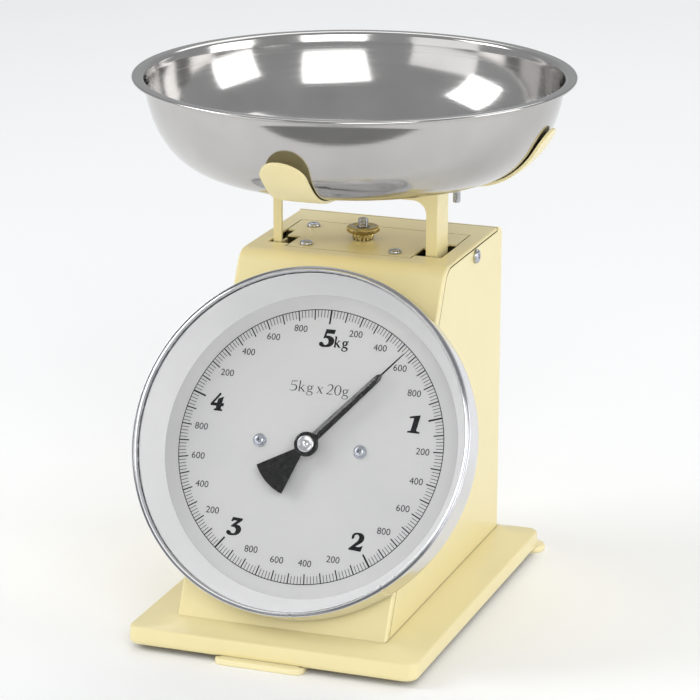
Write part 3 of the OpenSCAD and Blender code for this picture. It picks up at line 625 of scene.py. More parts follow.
def cradle():
    """Four arms in one pressing: each leaves the flat middle, follows the bowl and leans off at its tip."""
    gap = 0.35 * MM
    arm_half = 11.6 * MM
    tip_rise = 0.8 * arm_half
    flare_at = 75 * MM
    flare_r = flare_at - arm_half
    cad_tip_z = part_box("cradle")[1].z
    floor_z = BOWL_LOW.z - gap
    curve = bowl_curve(gap, 160)
    columns = 17
    bends = [math.pi / 2 * (2 * k / (columns - 1) - 1) for k in range(columns)]
    flat_rows = [r * MM for r in (0, 8, 16, 24, 30.2, 36, 42, 48, 54, 60)]
    rising = 26

    def half_width(u):
        return flare_at - math.sqrt(max(0.0, flare_r ** 2 - (flare_at - u) ** 2))

    def height_of(r):
        best = floor_z
        for (r0, z0), (r1, z1) in zip(curve, curve[1:]):
            if r1 <= r <= r0 and r0 > r1:
                best = z1 + (z0 - z1) * (r - r1) / (r0 - r1)
        return best

    start_r = 66 * MM
    start_z = height_of(start_r)

    def arm(stand_off, tip_z):
        verts = []
        for u in flat_rows:
            half = min(u, half_width(u)) if u > arm_half else u
            verts += [Vector((u, half * math.sin(bend), floor_z)) for bend in bends]
        for i in range(rising + 1):
            t = i / rising
            wide = max(arm_half, half_width(min(start_r + 27 * MM * t, flare_at)))
            for bend in bends:
                w = wide * math.sin(bend)
                end_z = tip_z - tip_rise + tip_rise * math.cos(bend)
                z = start_z + (end_z - start_z) * t ** 1.35
                lean = stand_off * ((z - floor_z) / (tip_z - floor_z)) ** 2
                r = radius_at(curve, z) + lean if i else start_r
                verts.append(Vector((math.sqrt(r * r - w * w), w, z)))
        return verts, grid_faces(len(flat_rows) + rising + 1, columns)

    arms = []
    for quarter, (stand_off, above) in enumerate(ARM_TIPS):
        turn = Matrix.Rotation(TAU * quarter / 4, 4, "Z")
        verts, faces = arm(stand_off, cad_tip_z + above)
        arms.append(([turn @ v for v in verts], faces))
    verts, faces = joined(arms)
    obj = piece("cradle_pressing", verts, faces, "platform", "enamel", "cradle", sharp=70,
                matrix=upright(BOWL_AT.x, BOWL_AT.y))
    bm = bmesh.new()
    bm.from_mesh(obj.data)
    bmesh.ops.remove_doubles(bm, verts=bm.verts, dist=0.02 * MM)
    bmesh.ops.dissolve_degenerate(bm, edges=bm.edges, dist=0.001 * MM)
    bmesh.ops.recalc_face_normals(bm, faces=bm.faces)
    if min(bm.faces, key=lambda f: abs(f.calc_center_median().z - floor_z)).normal.z < 0:
        bmesh.ops.reverse_faces(bm, faces=bm.faces)
    bm.to_mesh(obj.data)
    bm.free()
    return thickened(obj, 1.5 * MM, 0.45 * MM, 3)


cradle()


# ---- dial ----

def on_dial(name, shape, body, slot, *replaced, sharp=35, material=None):
    return piece(name, shape[0], shape[1], body, slot, *replaced, matrix=DIAL, sharp=sharp, material=material)


BEZEL_LOW, BEZEL_HIGH = local_box("bezel", DIAL)
LENS_LOW, LENS_HIGH = local_box("lens", DIAL)
FACE_R = local_box("dial_face", DIAL)[1].x


BEZEL_JOINTS = (-83.0, -51.0)     # anticlockwise from the right, in degrees


def bezel():
    """The chromed rim: rolled at the back, a tight corner over a fine groove, and a lip down to the lens."""
    outer, back, front = BEZEL_HIGH.x, BEZEL_LOW.z, BEZEL_HIGH.z
    inner = 84.1 * MM
    wall = 1.0 * MM
    seat = LENS_HIGH.z + 0.1 * MM
    profile = [(outer - wall, back + 1.2 * MM)]
    profile += arc((outer - 0.6 * MM, back + 0.6 * MM), 0.6 * MM, 180, 360, 6)
    profile += [(outer, back + 4 * MM), (outer, front - 4 * MM), (outer, front - 1.2 * MM)]
    profile += arc((outer - 0.25 * MM, front - 1.2 * MM), 0.25 * MM, 0, 110, 4)
    profile += [(outer - 0.4 * MM, front - 2.2 * MM), (outer - 1.4 * MM, front - 2.2 * MM)]
    profile += arc((outer - 1.8 * MM, front - 0.5 * MM), 0.4 * MM, 0, 90, 5)
    profile += arc((inner + 0.7 * MM, front - 0.4 * MM), 0.4 * MM, 90, 150, 4)
    profile += [(inner, seat), (outer - wall, seat)]
    joints = [math.radians(a) for a in BEZEL_JOINTS]

    def joint_marks(a, r, z):
        """A fine score across the band wherever its ends were joined."""
        near = min(abs(math.remainder(a - joint, TAU)) for joint in joints)
        return r - 0.3 * MM if near < math.radians(0.3) and r > inner + 0.3 * MM and z > front - 9 * MM else r

    return on_dial("bezel_ring", lathe(profile, 720, joint_marks), "casing", "chrome", "bezel", sharp=50)


def dial_ring():
    """The light ring inside the lens: a thin edge on the face, a slope, and a rounded outer edge."""
    top = LENS_LOW.z - 0.05 * MM
    profile = [(FACE_R - 0.3 * MM, 0.06 * MM), (FACE_R + 0.6 * MM, 0.06 * MM), (84 * MM, top - 0.9 * MM),
               (84 * MM, top), (83.4 * MM, top)]
    slope = [(82.2, 12.2), (80.4, 8.4), (78.4, 4.6), (77.0, 1.8), (76.3, 0.6)]
    profile += [(r * MM, z * MM) for r, z in slope] + [(FACE_R - 0.3 * MM, 0.12 * MM)]
    return on_dial("dial_ring_cone", lathe(profile, 256), "casing", "dial_rim", "dial_ring", sharp=50)


def lens():
    """A clear disc with a broken edge."""
    r, low, high = LENS_HIGH.x, LENS_LOW.z, LENS_HIGH.z
    edge = 0.4 * MM
    profile = [(0, low), (r * 0.5, low), (r - edge, low), (r, low + edge), (r, high - edge),
               (r - edge, high), (r * 0.5, high), (0, high)]
    obj = on_dial("lens_disc", lathe(profile, 128), "casing", "lens", "lens")
    obj.visible_shadow = False
    return obj


bezel()
dial_ring()
lens()

TICK_R = 68.4 * MM
PRINT_LOW = 0.01 * MM
PRINT_HIGH = 0.05 * MM
DIVISIONS = 250
BOX_FACES = [[3, 2, 1, 0], [4, 5, 6, 7], [0, 1, 5, 4], [1, 2, 6, 5], [2, 3, 7, 6], [3, 0, 4, 7]]


def bar(angle, r0, r1, width):
    """A printed radial line, as a very flat box. The angle runs clockwise from the top."""
    along = Vector((math.sin(angle), math.cos(angle), 0))
    across = Vector((along.y, -along.x, 0)) * width / 2
    verts = []
    for z in (PRINT_LOW, PRINT_HIGH):
        for r, side in ((r0, -1), (r1, -1), (r1, 1), (r0, 1)):
            verts.append(along * r + across * side + Vector((0, 0, z)))
    return verts, BOX_FACES


def graduations():
    """One line for each 20 g, longer for each 100 g and longest for each kilogram, inside a thin circle."""
    parts = []
    for i in range(DIVISIONS):
        if i % 50 == 0:
            length, width = 6.9 * MM, 0.9 * MM
        elif i % 5 == 0:
            length, width = 4.9 * MM, 0.6 * MM
        else:
            length, width = 3.7 * MM, 0.3 * MM
        parts.append(bar(TAU * i / DIVISIONS, TICK_R - length, TICK_R, width))
    line = 0.42 * MM
    circle = [(TICK_R, PRINT_LOW), (TICK_R + line, PRINT_LOW),
              (TICK_R + line, PRINT_HIGH), (TICK_R, PRINT_HIGH)]
    parts.append(lathe(circle, 250))
    return on_dial("dial_graduations", joined(parts), "casing", "dial_paper", material=INK)


graduations()


# Outlines of the kilogram figures, one unit tall. A point ending in True is a corner.
FIGURES = {
    "1": [(0.02, 0.87, True), (0.22, 0.92), (0.62, 1.0, True), (0.49, 0.12, True), (0.70, 0.07, True),
          (0.69, 0.0, True), (0.0, 0.0, True), (0.01, 0.07, True), (0.19, 0.11, True), (0.29, 0.82, True),
          (0.03, 0.80, True)],
    "2": [(0.10, 0.66, True), (0.12, 0.86), (0.44, 1.0), (0.79, 0.86), (0.80, 0.62), (0.56, 0.38),
          (0.34, 0.24, True), (0.62, 0.23), (0.80, 0.31, True), (0.72, 0.0, True), (0.0, 0.04, True),
          (0.0, 0.10, True), (0.30, 0.38), (0.51, 0.62), (0.52, 0.82), (0.38, 0.91), (0.25, 0.84),
          (0.22, 0.70), (0.15, 0.64)],
    "3": [(0.19, 0.80, True), (0.26, 1.0, True), (0.84, 0.97, True), (0.82, 0.87, True), (0.50, 0.60, True),
          (0.72, 0.55), (0.83, 0.36), (0.70, 0.10), (0.38, 0.0), (0.10, 0.03), (0.0, 0.13), (0.06, 0.24),
          (0.19, 0.22), (0.30, 0.11), (0.46, 0.12), (0.54, 0.28), (0.46, 0.44), (0.24, 0.47, True),
          (0.22, 0.52, True), (0.54, 0.82, True), (0.36, 0.84), (0.24, 0.77, True)],
    "4": [(0.46, 1.0, True), (0.55, 0.95, True), (0.17, 0.42, True), (0.37, 0.42, True), (0.41, 0.66, True),
          (0.71, 0.80, True), (0.65, 0.42, True), (0.78, 0.44, True), (0.76, 0.27, True), (0.64, 0.27, True),
          (0.63, 0.11, True), (0.74, 0.06, True), (0.73, 0.0, True), (0.24, 0.0, True), (0.24, 0.06, True),
          (0.35, 0.11, True), (0.36, 0.27, True), (0.02, 0.27, True), (0.0, 0.36, True)],
    "5": [(0.30, 1.0, True), (0.84, 1.0, True), (0.79, 0.78, True), (0.36, 0.78, True), (0.34, 0.63, True),
          (0.60, 0.62), (0.83, 0.42), (0.74, 0.12), (0.38, 0.0), (0.08, 0.03), (0.0, 0.14), (0.07, 0.25),
          (0.19, 0.22), (0.30, 0.11), (0.46, 0.14), (0.53, 0.32), (0.42, 0.50), (0.20, 0.48, True)],
}


def filled(curve_object):
    """Turns a filled 2D curve into (verts, faces)."""
    bpy.context.scene.collection.objects.link(curve_object)
    bpy.context.view_layer.update()
    mesh = bpy.data.meshes.new_from_object(curve_object.evaluated_get(bpy.context.evaluated_depsgraph_get()))
    verts = [v.co.copy() for v in mesh.vertices]
    faces = [list(p.vertices) for p in mesh.polygons]
    bpy.data.objects.remove(curve_object)
    bpy.data.meshes.remove(mesh)
    return verts, faces


def figure(digit):
    """A kilogram figure, filled and a little emboldened."""
    curve = bpy.data.curves.new("figure", "CURVE")
    curve.dimensions = "2D"
    curve.fill_mode = "BOTH"
    curve.resolution_u = 6
    curve.offset = 0.012
    curve.extrude = 0.5
    spline = curve.splines.new("BEZIER")
    spline.bezier_points.add(len(FIGURES[digit]) - 1)
    spline.use_cyclic_u = True
    for point, spec in zip(spline.bezier_points, FIGURES[digit]):
        point.co = (spec[0], spec[1], 0)
        kind = "VECTOR" if len(spec) > 2 else "AUTO"
        point.handle_left_type = point.handle_right_type = kind
    return filled(bpy.data.objects.new("figure", curve))


def words(text):
    """Plain small figures in Blender's own font."""
    curve = bpy.data.curves.new("words", "FONT")
    curve.body = text
    curve.fill_mode = "BOTH"
    curve.resolution_u = 4
    curve.extrude = 0.5
    return filled(bpy.data.objects.new("words", curve))


# Serif letters as pen strokes, one unit from the base line to the top of a figure. Each stroke is a smooth
# path of (x, y, pen width).
LETTERS = {
    "5": [[(0.16, 0.96, 0.05), (0.40, 0.97, 0.09), (0.64, 1.0, 0.06)],
          [(0.17, 0.97, 0.05), (0.12, 0.55, 0.05)],
          [(0.12, 0.55, 0.04), (0.34, 0.61, 0.07), (0.55, 0.52, 0.10), (0.62, 0.31, 0.12), (0.52, 0.10, 0.10),
           (0.28, 0.0, 0.06), (0.02, 0.03, 0.05)]],
    "2": [[(0.06, 0.78, 0.05), (0.18, 0.95, 0.06), (0.38, 0.98, 0.09), (0.53, 0.80, 0.12), (0.47, 0.52, 0.10),
           (0.27, 0.25, 0.06), (0.05, 0.04, 0.05)],
          [(0.04, 0.04, 0.08), (0.40, 0.04, 0.09), (0.60, 0.07, 0.05)]],
    "0": [[(0.30, 1.0, 0.05), (0.12, 0.86, 0.09), (0.04, 0.5, 0.12), (0.12, 0.14, 0.09), (0.30, 0.0, 0.05),
           (0.48, 0.14, 0.09), (0.56, 0.5, 0.12), (0.48, 0.86, 0.09), (0.30, 1.0, 0.05)]],
    "k": [[(0.14, 1.06, 0.10), (0.13, 0.02, 0.10)], [(0.02, 1.02, 0.04), (0.14, 1.06, 0.06)],
          [(0.02, 0.01, 0.04), (0.27, 0.01, 0.04)], [(0.15, 0.27, 0.05), (0.48, 0.62, 0.05)],
          [(0.36, 0.64, 0.04), (0.60, 0.64, 0.04)], [(0.24, 0.40, 0.10), (0.56, 0.03, 0.11)],
          [(0.48, 0.01, 0.04), (0.70, 0.01, 0.04)]],
    "g": [[(0.26, 0.66, 0.05), (0.12, 0.58, 0.09), (0.08, 0.45, 0.10), (0.14, 0.31, 0.08), (0.26, 0.25, 0.05),
           (0.39, 0.32, 0.09), (0.44, 0.46, 0.10), (0.38, 0.60, 0.08), (0.26, 0.66, 0.05)],
          [(0.40, 0.60, 0.05), (0.50, 0.67, 0.06), (0.58, 0.64, 0.08)],
          [(0.16, 0.28, 0.05), (0.09, 0.17, 0.06), (0.20, 0.08, 0.09), (0.42, 0.05, 0.10),
           (0.54, -0.08, 0.09), (0.46, -0.24, 0.06), (0.24, -0.30, 0.05), (0.06, -0.22, 0.07),
           (0.05, -0.08, 0.06), (0.18, 0.06, 0.04)]],
    "x": [[(0.06, 0.63, 0.10), (0.46, 0.02, 0.11)], [(0.46, 0.63, 0.04), (0.05, 0.02, 0.04)],
          [(0.0, 0.64, 0.04), (0.20, 0.64, 0.04)], [(0.36, 0.64, 0.04), (0.54, 0.64, 0.04)],
          [(0.0, 0.01, 0.04), (0.16, 0.01, 0.04)], [(0.36, 0.01, 0.04), (0.56, 0.01, 0.04)]],
}


LETTER_GAP = 0.09
WORD_GAP = 0.22


def between(p, q, r, s, t):
    """One coordinate of a Catmull-Rom path, a share t of the way from q to r."""
    square = (2 * p - 5 * q + 4 * r - s) * t * t
    cube = (3 * q - p - 3 * r + s) * t ** 3
    return 0.5 * (2 * q + (r - p) * t + square + cube)


def smooth_path(points, steps=6):
    """A Catmull-Rom path through (x, y, width) points."""
    if len(points) == 2:
        return points
    out = []
    for i in range(len(points) - 1):
        a, b, c, d = points[max(i - 1, 0)], points[i], points[i + 1], points[min(i + 2, len(points) - 1)]
        for k in range(steps):
            out.append([between(*four, k / steps) for four in zip(a, b, c, d)])
    return out + [points[-1]]


def stroke(points, weight):
    """A pen stroke as a thin solid ribbon."""
    path = smooth_path(points)
    verts, faces = [], []
    for i, (x, y, width) in enumerate(path):
        (ax, ay, _), (bx, by, _) = path[max(i - 1, 0)], path[min(i + 1, len(path) - 1)]
        along = Vector((bx - ax, by - ay, 0)).normalized()
        across = Vector((-along.y, along.x, 0)) * width * weight / 2
        for z in (-0.5, 0.5):
            for side in (-1, 1):
                verts.append(Vector((x, y, z)) + across * side)
    for i in range(len(path) - 1):
        k, n = 4 * i, 4 * i + 4
        faces += [[k, k + 1, n + 1, n], [k + 2, n + 2, n + 3, k + 3],
                  [k, n, n + 2, k + 2], [k + 1, k + 3, n + 3, n + 1]]
    last = 4 * (len(path) - 1)
    faces += [[0, 2, 3, 1], [last, last + 1, last + 3, last + 2]]
    return verts, faces


def lettering(text, weight):
    """A line of serif letters. A space leaves a gap."""
    parts = []
    x = 0.0
    for letter in text:
        if letter == " ":
            x += WORD_GAP
            continue
        verts, faces = joined([stroke(points, weight) for points in LETTERS[letter]])
        left, right = min(v.x for v in verts), max(v.x for v in verts)
        parts.append(([v + Vector((x - left, 0, 0)) for v in verts], faces))
        x += right - left + LETTER_GAP
    return joined(parts)


def printed(shape, left, base, width, height):
    """Fits a flat shape into a box on the dial and gives it the ink's thickness."""
    verts, faces = shape
    xs, ys = [v.x for v in verts], [v.y for v in verts]
    low_x, low_y = min(xs), min(ys)
    span_x, span_y = max(xs) - low_x, max(ys) - low_y
    out = []
    for v in verts:
        z = PRINT_HIGH if v.z > 0 else PRINT_LOW
        x = left + width * (v.x - low_x) / span_x
        y = base + height * (v.y - low_y) / span_y
        out.append(Vector((x, y, z)))
    return out, faces


def kilogram_figures():
    """Upright bold figures inside the graduations, with the unit beside the largest."""
    ring_r = 54.4 * MM
    tall = 9.2 * MM
    parts = []
    for kilograms in range(1, 6):
        a = TAU * kilograms / 5
        shape = figure(str(kilograms))
        wide = tall * max(spot[0] for spot in FIGURES[str(kilograms)])
        x, y = ring_r * math.sin(a), ring_r * math.cos(a)
        parts.append(printed(shape, x - wide / 2, y - tall / 2, wide, tall))
    parts.append(printed(lettering("kg", 1.7), 3.9 * MM, 48.6 * MM, 7.6 * MM, 7.4 * MM))
    return on_dial("dial_kilogram_figures", joined(parts), "casing", "dial_paper", material=INK)


def gram_figures():
    """Small upright figures for each 200 g, and the scale's range in the middle."""
    across, up, lift = 58.2 * MM, 59.0 * MM, 0.9 * MM     # wide figures stand closer in at the sides
    wide, tall = 6.8 * MM, 3.3 * MM
    shapes = {grams: words(str(grams)) for grams in (200, 400, 600, 800)}
    parts = []
    for kilograms in range(5):
        for grams, shape in shapes.items():
            a = TAU * (kilograms + grams / 1000) / 5
            x, y = across * math.sin(a), up * math.cos(a) + lift * math.cos(a) ** 2
            parts.append(printed(shape, x - wide / 2, y - tall / 2, wide, tall))
    parts.append(printed(lettering("5kg x 20g", 0.9), -15.3 * MM, 25.0 * MM, 31.0 * MM, 7.0 * MM))
    return on_dial("dial_gram_figures", joined(parts), "casing", "dial_paper", material=INK)


kilogram_figures()
gram_figures()


# ---- pointer ----

READING_KG = 0.56
HUB_TOP = local_box("pointer", DIAL)[1].z


def pointer():
    """A folded needle with a ridge down its middle, a thin tip, a round hub and a flat counterweight."""
    back = local_box("pointer", DIAL)[0].z
    sheet = 0.5 * MM
    ridge = 0.8 * MM
    body = [(4.0, 2.35), (20, 2.15), (36, 1.92), (46.5, 1.75), (48.6, 1.55), (49.6, 0.95), (50.1, 0.45)]
    tip = [(58, 0.34), (65.2, 0.16)]
    verts = []
    stations = body + tip
    for y, half in stations:
        peak = ridge if y < 48 else (ridge * 0.6 if y < 50 else 0.25 * MM)
        for x, z in ((-half * MM, 0), (0, peak), (half * MM, 0), (half * MM, -sheet), (0, peak - sheet * 1.2),
                     (-half * MM, -sheet)):
            verts.append(Vector((x, y * MM, back + sheet + z)))
    faces = grid_faces(len(stations), 6, closed=True)
    faces += end_caps(len(stations), 6)
    hub_r = 6.2 * MM
    hub = [(2.6 * MM, back), (hub_r - 0.3 * MM, back), (hub_r, back + 0.3 * MM)]
    hub += arc((hub_r - 0.7 * MM, HUB_TOP - 0.7 * MM), 0.7 * MM, 0, 90, 5)
    hub += [(3.0 * MM, HUB_TOP), (2.6 * MM, HUB_TOP - 0.3 * MM)]
    tail_r, half_angle = 27.2 * MM, math.radians(21.5)
    outline = [Vector((-1.6 * MM, -3.6 * MM, 0))]
    for i in range(13):
        a = -half_angle + 2 * half_angle * i / 12
        outline.append(Vector((tail_r * math.sin(a), -tail_r * math.cos(a), 0)))
    outline.append(Vector((1.6 * MM, -3.6 * MM, 0)))
    count = len(outline)
    lift = Vector((0, 0, back))
    thick = Vector((0, 0, 0.6 * MM))
    plate = [p + lift for p in outline] + [p + lift + thick for p in outline]
    sides = [[k, (k + 1) % count, count + (k + 1) % count, count + k] for k in range(count)]
    weight = (plate, sides + [list(range(count))[::-1], [count + k for k in range(count)]])
    verts, faces = joined([(verts, faces), lathe(hub, 64), weight])
    turn = Matrix.Rotation(-TAU * READING_KG / 5, 4, "Z")
    obj = on_dial("pointer_needle", ([turn @ v for v in verts], faces), "pointer", "pointer_black", "pointer")
    break_edges(obj, 0.12 * MM)
    return apply_modifiers(obj)


def pointer_cap():
    """A turned cap: a dished face with a raised centre, and the boss that it is pressed on."""
    base = local_box("pointer", DIAL)[0].z
    z = HUB_TOP
    r = 4.25 * MM
    profile = [(0, z - 1.0 * MM), (r - 0.2 * MM, z - 1.0 * MM), (r, z - 0.8 * MM), (r, z + 0.15 * MM)]
    profile += arc((r - 0.45 * MM, z + 0.15 * MM), 0.45 * MM, 0, 90, 5)
    profile += [(r - 0.8 * MM, z + 0.58 * MM), (r - 1.3 * MM, z + 0.36 * MM), (1.6 * MM, z + 0.34 * MM),
                (1.3 * MM, z + 0.6 * MM), (0.8 * MM, z + 0.78 * MM), (0, z + 0.82 * MM)]
    boss = [(1.2 * MM, base - 1.6 * MM), (2.6 * MM, base - 1.6 * MM), (2.6 * MM, base), (1.2 * MM, base)]
    return on_dial("pointer_cap_turned", joined([lathe(profile, 64), lathe(boss, 48)]), "pointer", "chrome",
                   "pointer_cap")


pointer()
pointer_cap()


# ---- screws, nut and stud ----

def screw_shape(radius, height, shank_r, shank, flange):
    """A pan head with a rounded shoulder and a plain shank below. A flange may spread under it."""
    crown = radius * 0.55
    profile = [(0, -shank), (shank_r, -shank), (shank_r, 0), (radius + flange - 0.1 * MM, 0),
               (radius + flange, 0.15 * MM)]
    if flange:
        profile += [(radius + flange, 0.4 * MM), (radius + flange - 0.15 * MM, 0.55 * MM), (radius, 0.6 * MM)]
    profile += [(radius, height * 0.4)]
    for i in range(1, 7):
        a = math.pi / 2 * i / 6
        profile.append((crown + (radius - crown) * math.cos(a), height * (0.4 + 0.55 * math.sin(a))))
    profile += [(crown * 0.5, height), (0, height)]
    return lathe(profile, 48)


def cross_cutter(size, depth, top):
    """The punch that makes a cross recess: two tapering blades."""
    parts = []
    for turn in (0, math.pi / 2):
        verts = []
        for z, half, width in ((top - depth, size * 0.35, 0.22 * MM), (top + 0.3 * MM, size, 0.42 * MM)):
            for x, y in ((-half, -width), (half, -width), (half, width), (-half, width)):
                verts.append(Matrix.Rotation(turn, 4, "Z") @ Vector((x, y, z)))
        parts.append((verts, BOX_FACES))
    return parts


def screws(name, body, node, places, radius, height, shank_r, shank, flange=0.0):
    """A set of the same screw, with the recess cut and every head turned its own way."""
    heads, cutters = [], []
    for index, place in enumerate(places):
        turn = place @ Matrix.Rotation(0.35 + 1.9 * index, 4, "Z")
        verts, faces = screw_shape(radius, height, shank_r, shank, flange)
        heads.append(([turn @ v for v in verts], faces))
        for verts, faces in cross_cutter(radius * 0.55, height * 0.55, height):
            cutters.append(([turn @ v for v in verts], faces))
    obj = piece(name, *joined(heads), body, "zinc", node, sharp=45)
    for group in (cutters[0::2], cutters[1::2]):
        mesh = bpy.data.meshes.new("cutter")
        verts, faces = joined(group)
        mesh.from_pydata([tuple(v) for v in verts], [], faces)
        cutter = bpy.data.objects.new("cutter", mesh)
        bpy.context.scene.collection.objects.link(cutter)
        cut = obj.modifiers.new("recess", "BOOLEAN")
        cut.operation = "DIFFERENCE"
        cut.object = cutter
        cut.solver = "EXACT"
        apply_modifiers(obj)
        bpy.data.objects.remove(cutter)
    return evenly_shaded(dress(obj, body, "zinc", node, sharp=40))


def centres(node, count, matrix=Matrix.Identity(4)):
    """Centres of a node's separate solids: each solid is the vertices close to the first one met."""
    inverse = matrix.inverted()
    points = [inverse @ v.co for v in NODES[node].data.vertices]
    groups = []
    for p in points:
        home = next((g for g in groups if (g[0] - p).xy.length < 8 * MM), None)
        if home is None:
            groups.append([p])
        else:
            home.append(p)
    assert len(groups) == count, (node, len(groups))
    out = []
    for g in groups:
        xs, ys = [p.x for p in g], [p.y for p in g]
        out.append(((min(xs) + max(xs)) / 2, (min(ys) + max(ys)) / 2))
    return out


plate_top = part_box("bridge_plate")[1].z
screws("bridge_screw_set", "casing", "bridge_screws",
       [Matrix.Translation((x, y, plate_top)) for x, y in centres("bridge_screws", 4)],
       3.3 * MM, 1.9 * MM, 1.5 * MM, 5 * MM)
screws("dial_screw_set", "casing", "dial_screws",
       [DIAL @ Matrix.Translation((x, y, 0)) for x, y in centres("dial_screws", 2, DIAL)],
       2.6 * MM, 2.2 * MM, 1.5 * MM, 4 * MM, flange=0.85 * MM)

side_low, side_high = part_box("cover_screws")
side_y, side_z = (side_low.y + side_high.y) / 2, (side_low.z + side_high.z) / 2
wall_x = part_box("rear_cover")[1].x
side_places = []
for sign in (1, -1):
    face_out = Matrix.Rotation(sign * math.pi / 2, 4, "Y")
    side_places.append(Matrix.Translation((sign * wall_x, side_y, side_z)) @ face_out)
screws("cover_screw_set", "casing", "cover_screws", side_places, 3.6 * MM, 2.1 * MM, 1.85 * MM, 4.5 * MM)


def thread(radius, low, high, pitch, depth=0.22 * MM, chamfer=0.5 * MM, columns=40, per_turn=8):
    """A threaded rod: the radius follows a V groove that climbs once per turn."""
    rows = int((high - low) / pitch * per_turn)
    verts = []
    for i in range(rows + 1):
        z = low + (high - low) * i / rows
        for k in range(columns):
            a = TAU * k / columns
            off = abs(2 * ((z / pitch - k / columns) % 1) - 1)
            groove = depth * max(0.0, 1 - 1.6 * off)
            r = radius - groove - max(0.0, z - (high - chamfer)) * 0.8
            verts.append(Vector((r * math.cos(a), r * math.sin(a), z)))
    return verts, grid_faces(rows + 1, columns, closed=True) + end_caps(rows + 1, columns)


def adjuster():
    """The threaded stud and its brass nut: a wide knurled disc on a narrower serrated collar."""
    stud_low, stud_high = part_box("adjuster_stud")
    stud = thread(2.7 * MM, stud_low.z, stud_high.z, 0.8 * MM)
    piece("adjuster_stud_threaded", *stud, "hanger", "zinc", "adjuster_stud", sharp=60,
          matrix=upright(NUT_AT.x, NUT_AT.y))
    low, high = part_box("zero_nut")
    bore = 2.76 * MM
    disc_low = low.z + 3.5 * MM
    disc_r, collar_r = (high.x - low.x) / 2, 5.4 * MM
    collar = [(bore, low.z), (collar_r - 0.5 * MM, low.z), (collar_r, low.z + 0.4 * MM),
              (collar_r, disc_low - 0.9 * MM), (collar_r - 0.5 * MM, disc_low - 0.45 * MM),
              (collar_r + 0.2 * MM, disc_low)]
    disc = [(disc_r - 1.1 * MM, disc_low), (disc_r - 0.35 * MM, disc_low + 0.45 * MM),
            (disc_r, disc_low + 0.7 * MM), (disc_r, high.z - 0.8 * MM),
            (disc_r - 0.45 * MM, high.z - 0.35 * MM), (disc_r - 1.0 * MM, high.z - 0.05 * MM),
            (disc_r - 1.6 * MM, high.z), (4.4 * MM, high.z), (4.1 * MM, high.z - 0.3 * MM),
            (bore + 0.3 * MM, high.z - 0.3 * MM), (bore, high.z - 0.6 * MM)]
    knurls, notches = 56, 14

    def knurled(a, r, z):
        """Fine ridges round the disc, coarse notches round the collar."""
        if r > disc_r - 0.5 * MM:
            return r - 0.45 * MM * abs(math.sin(knurls * a / 2))
        if abs(r - collar_r) < 0.15 * MM and z < disc_low - 0.6 * MM:
            return r - 0.7 * MM * abs(math.sin(notches * a / 2))
        return r

    shape = lathe(collar + disc, 512, knurled)
    piece("zero_nut_knurled", *shape, "zero_nut", "brass", "zero_nut", sharp=50,
          matrix=upright(NUT_AT.x, NUT_AT.y))


adjuster()


def cradle_fasteners():
    """The two cradle screws: threaded ends that hang below the tabs, each with a hexagon nut."""
    low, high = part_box("cradle_screws")
    spot_x = high.x - 3.8 * MM
    spot_y = (low.y + high.y) / 2
    rod_r, face_r, corner_r, chamfer = 1.9 * MM, 3.2 * MM, 3.8 * MM, 0.35 * MM
    shaft = thread(rod_r, -high.z, -low.z, 0.7 * MM, 0.2 * MM, 0.4 * MM, 32)
    flip = Matrix.Rotation(math.pi, 4, "X")
    nut_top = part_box("yoke")[1].z - 1.2 * MM
    nut_low = nut_top - 2.4 * MM

    def hexagon(a, r, z):
        """Six flats, cut only where the radius is past the nut's threaded middle."""
        if r < 2.4 * MM:
            return r
        off = (a + TAU / 12) % (TAU / 6) - TAU / 12
        return min(r, 3.3 * MM / math.cos(off))

    nut_profile = [(rod_r, nut_low), (face_r, nut_low), (corner_r, nut_low + chamfer),
                   (corner_r, nut_top - chamfer), (face_r, nut_top), (rod_r, nut_top)]
    nut = lathe(nut_profile, 72, hexagon)
    parts = []
    for sign in (1, -1):
        place = upright(sign * spot_x, spot_y)
        parts.append(([place @ flip @ v for v in shaft[0]], shaft[1]))
        parts.append(([place @ v for v in nut[0]], nut[1]))
    verts, faces = joined(parts)
    return piece("cradle_screw_set", verts, faces, "platform", "zinc", "cradle_screws", sharp=50)


cradle_fasteners()


# ---- springs: round wire coiled between the casing and the platform ----
# Their ends stop short of the hanger and the anchor plate, as the CAD springs' ends do.

def coil_path(low, high, radius, turns):
    """The wire's middle line: a straight end, a lead out to the coils, the coils, and the same again."""
    lead = 5.0 * MM
    points = [Vector((0, 0, high))]
    points += [Vector((radius * t, 0, high - lead + 0.8 * MM * (1 - t))) for t in (0, 0.5)]
    steps = 14
    for i in range(turns * steps + 1):
        a = TAU * i / steps
        z = high - lead - (high - low - 2 * lead) * i / (turns * steps)
        points.append(Vector((radius * math.cos(a), radius * math.sin(a), z)))
    points += [Vector((radius * t, 0, low + lead - 0.8 * MM * (1 - t))) for t in (0.5, 0)]
    points.append(Vector((0, 0, low)))
    return points


def tube(path, radius, sides=8):
    """Sweeps a round wire along a path."""
    verts = []
    side = Vector((0, 1, 0))
    for i, p in enumerate(path):
        ahead = (path[min(i + 1, len(path) - 1)] - path[max(i - 1, 0)]).normalized()
        side = (side - ahead * side.dot(ahead)).normalized()
        other = ahead.cross(side)
        for k in range(sides):
            a = TAU * k / sides
            verts.append(p + (side * math.cos(a) + other * math.sin(a)) * radius)
    return verts, grid_faces(len(path), sides, closed=True) + end_caps(len(path), sides)


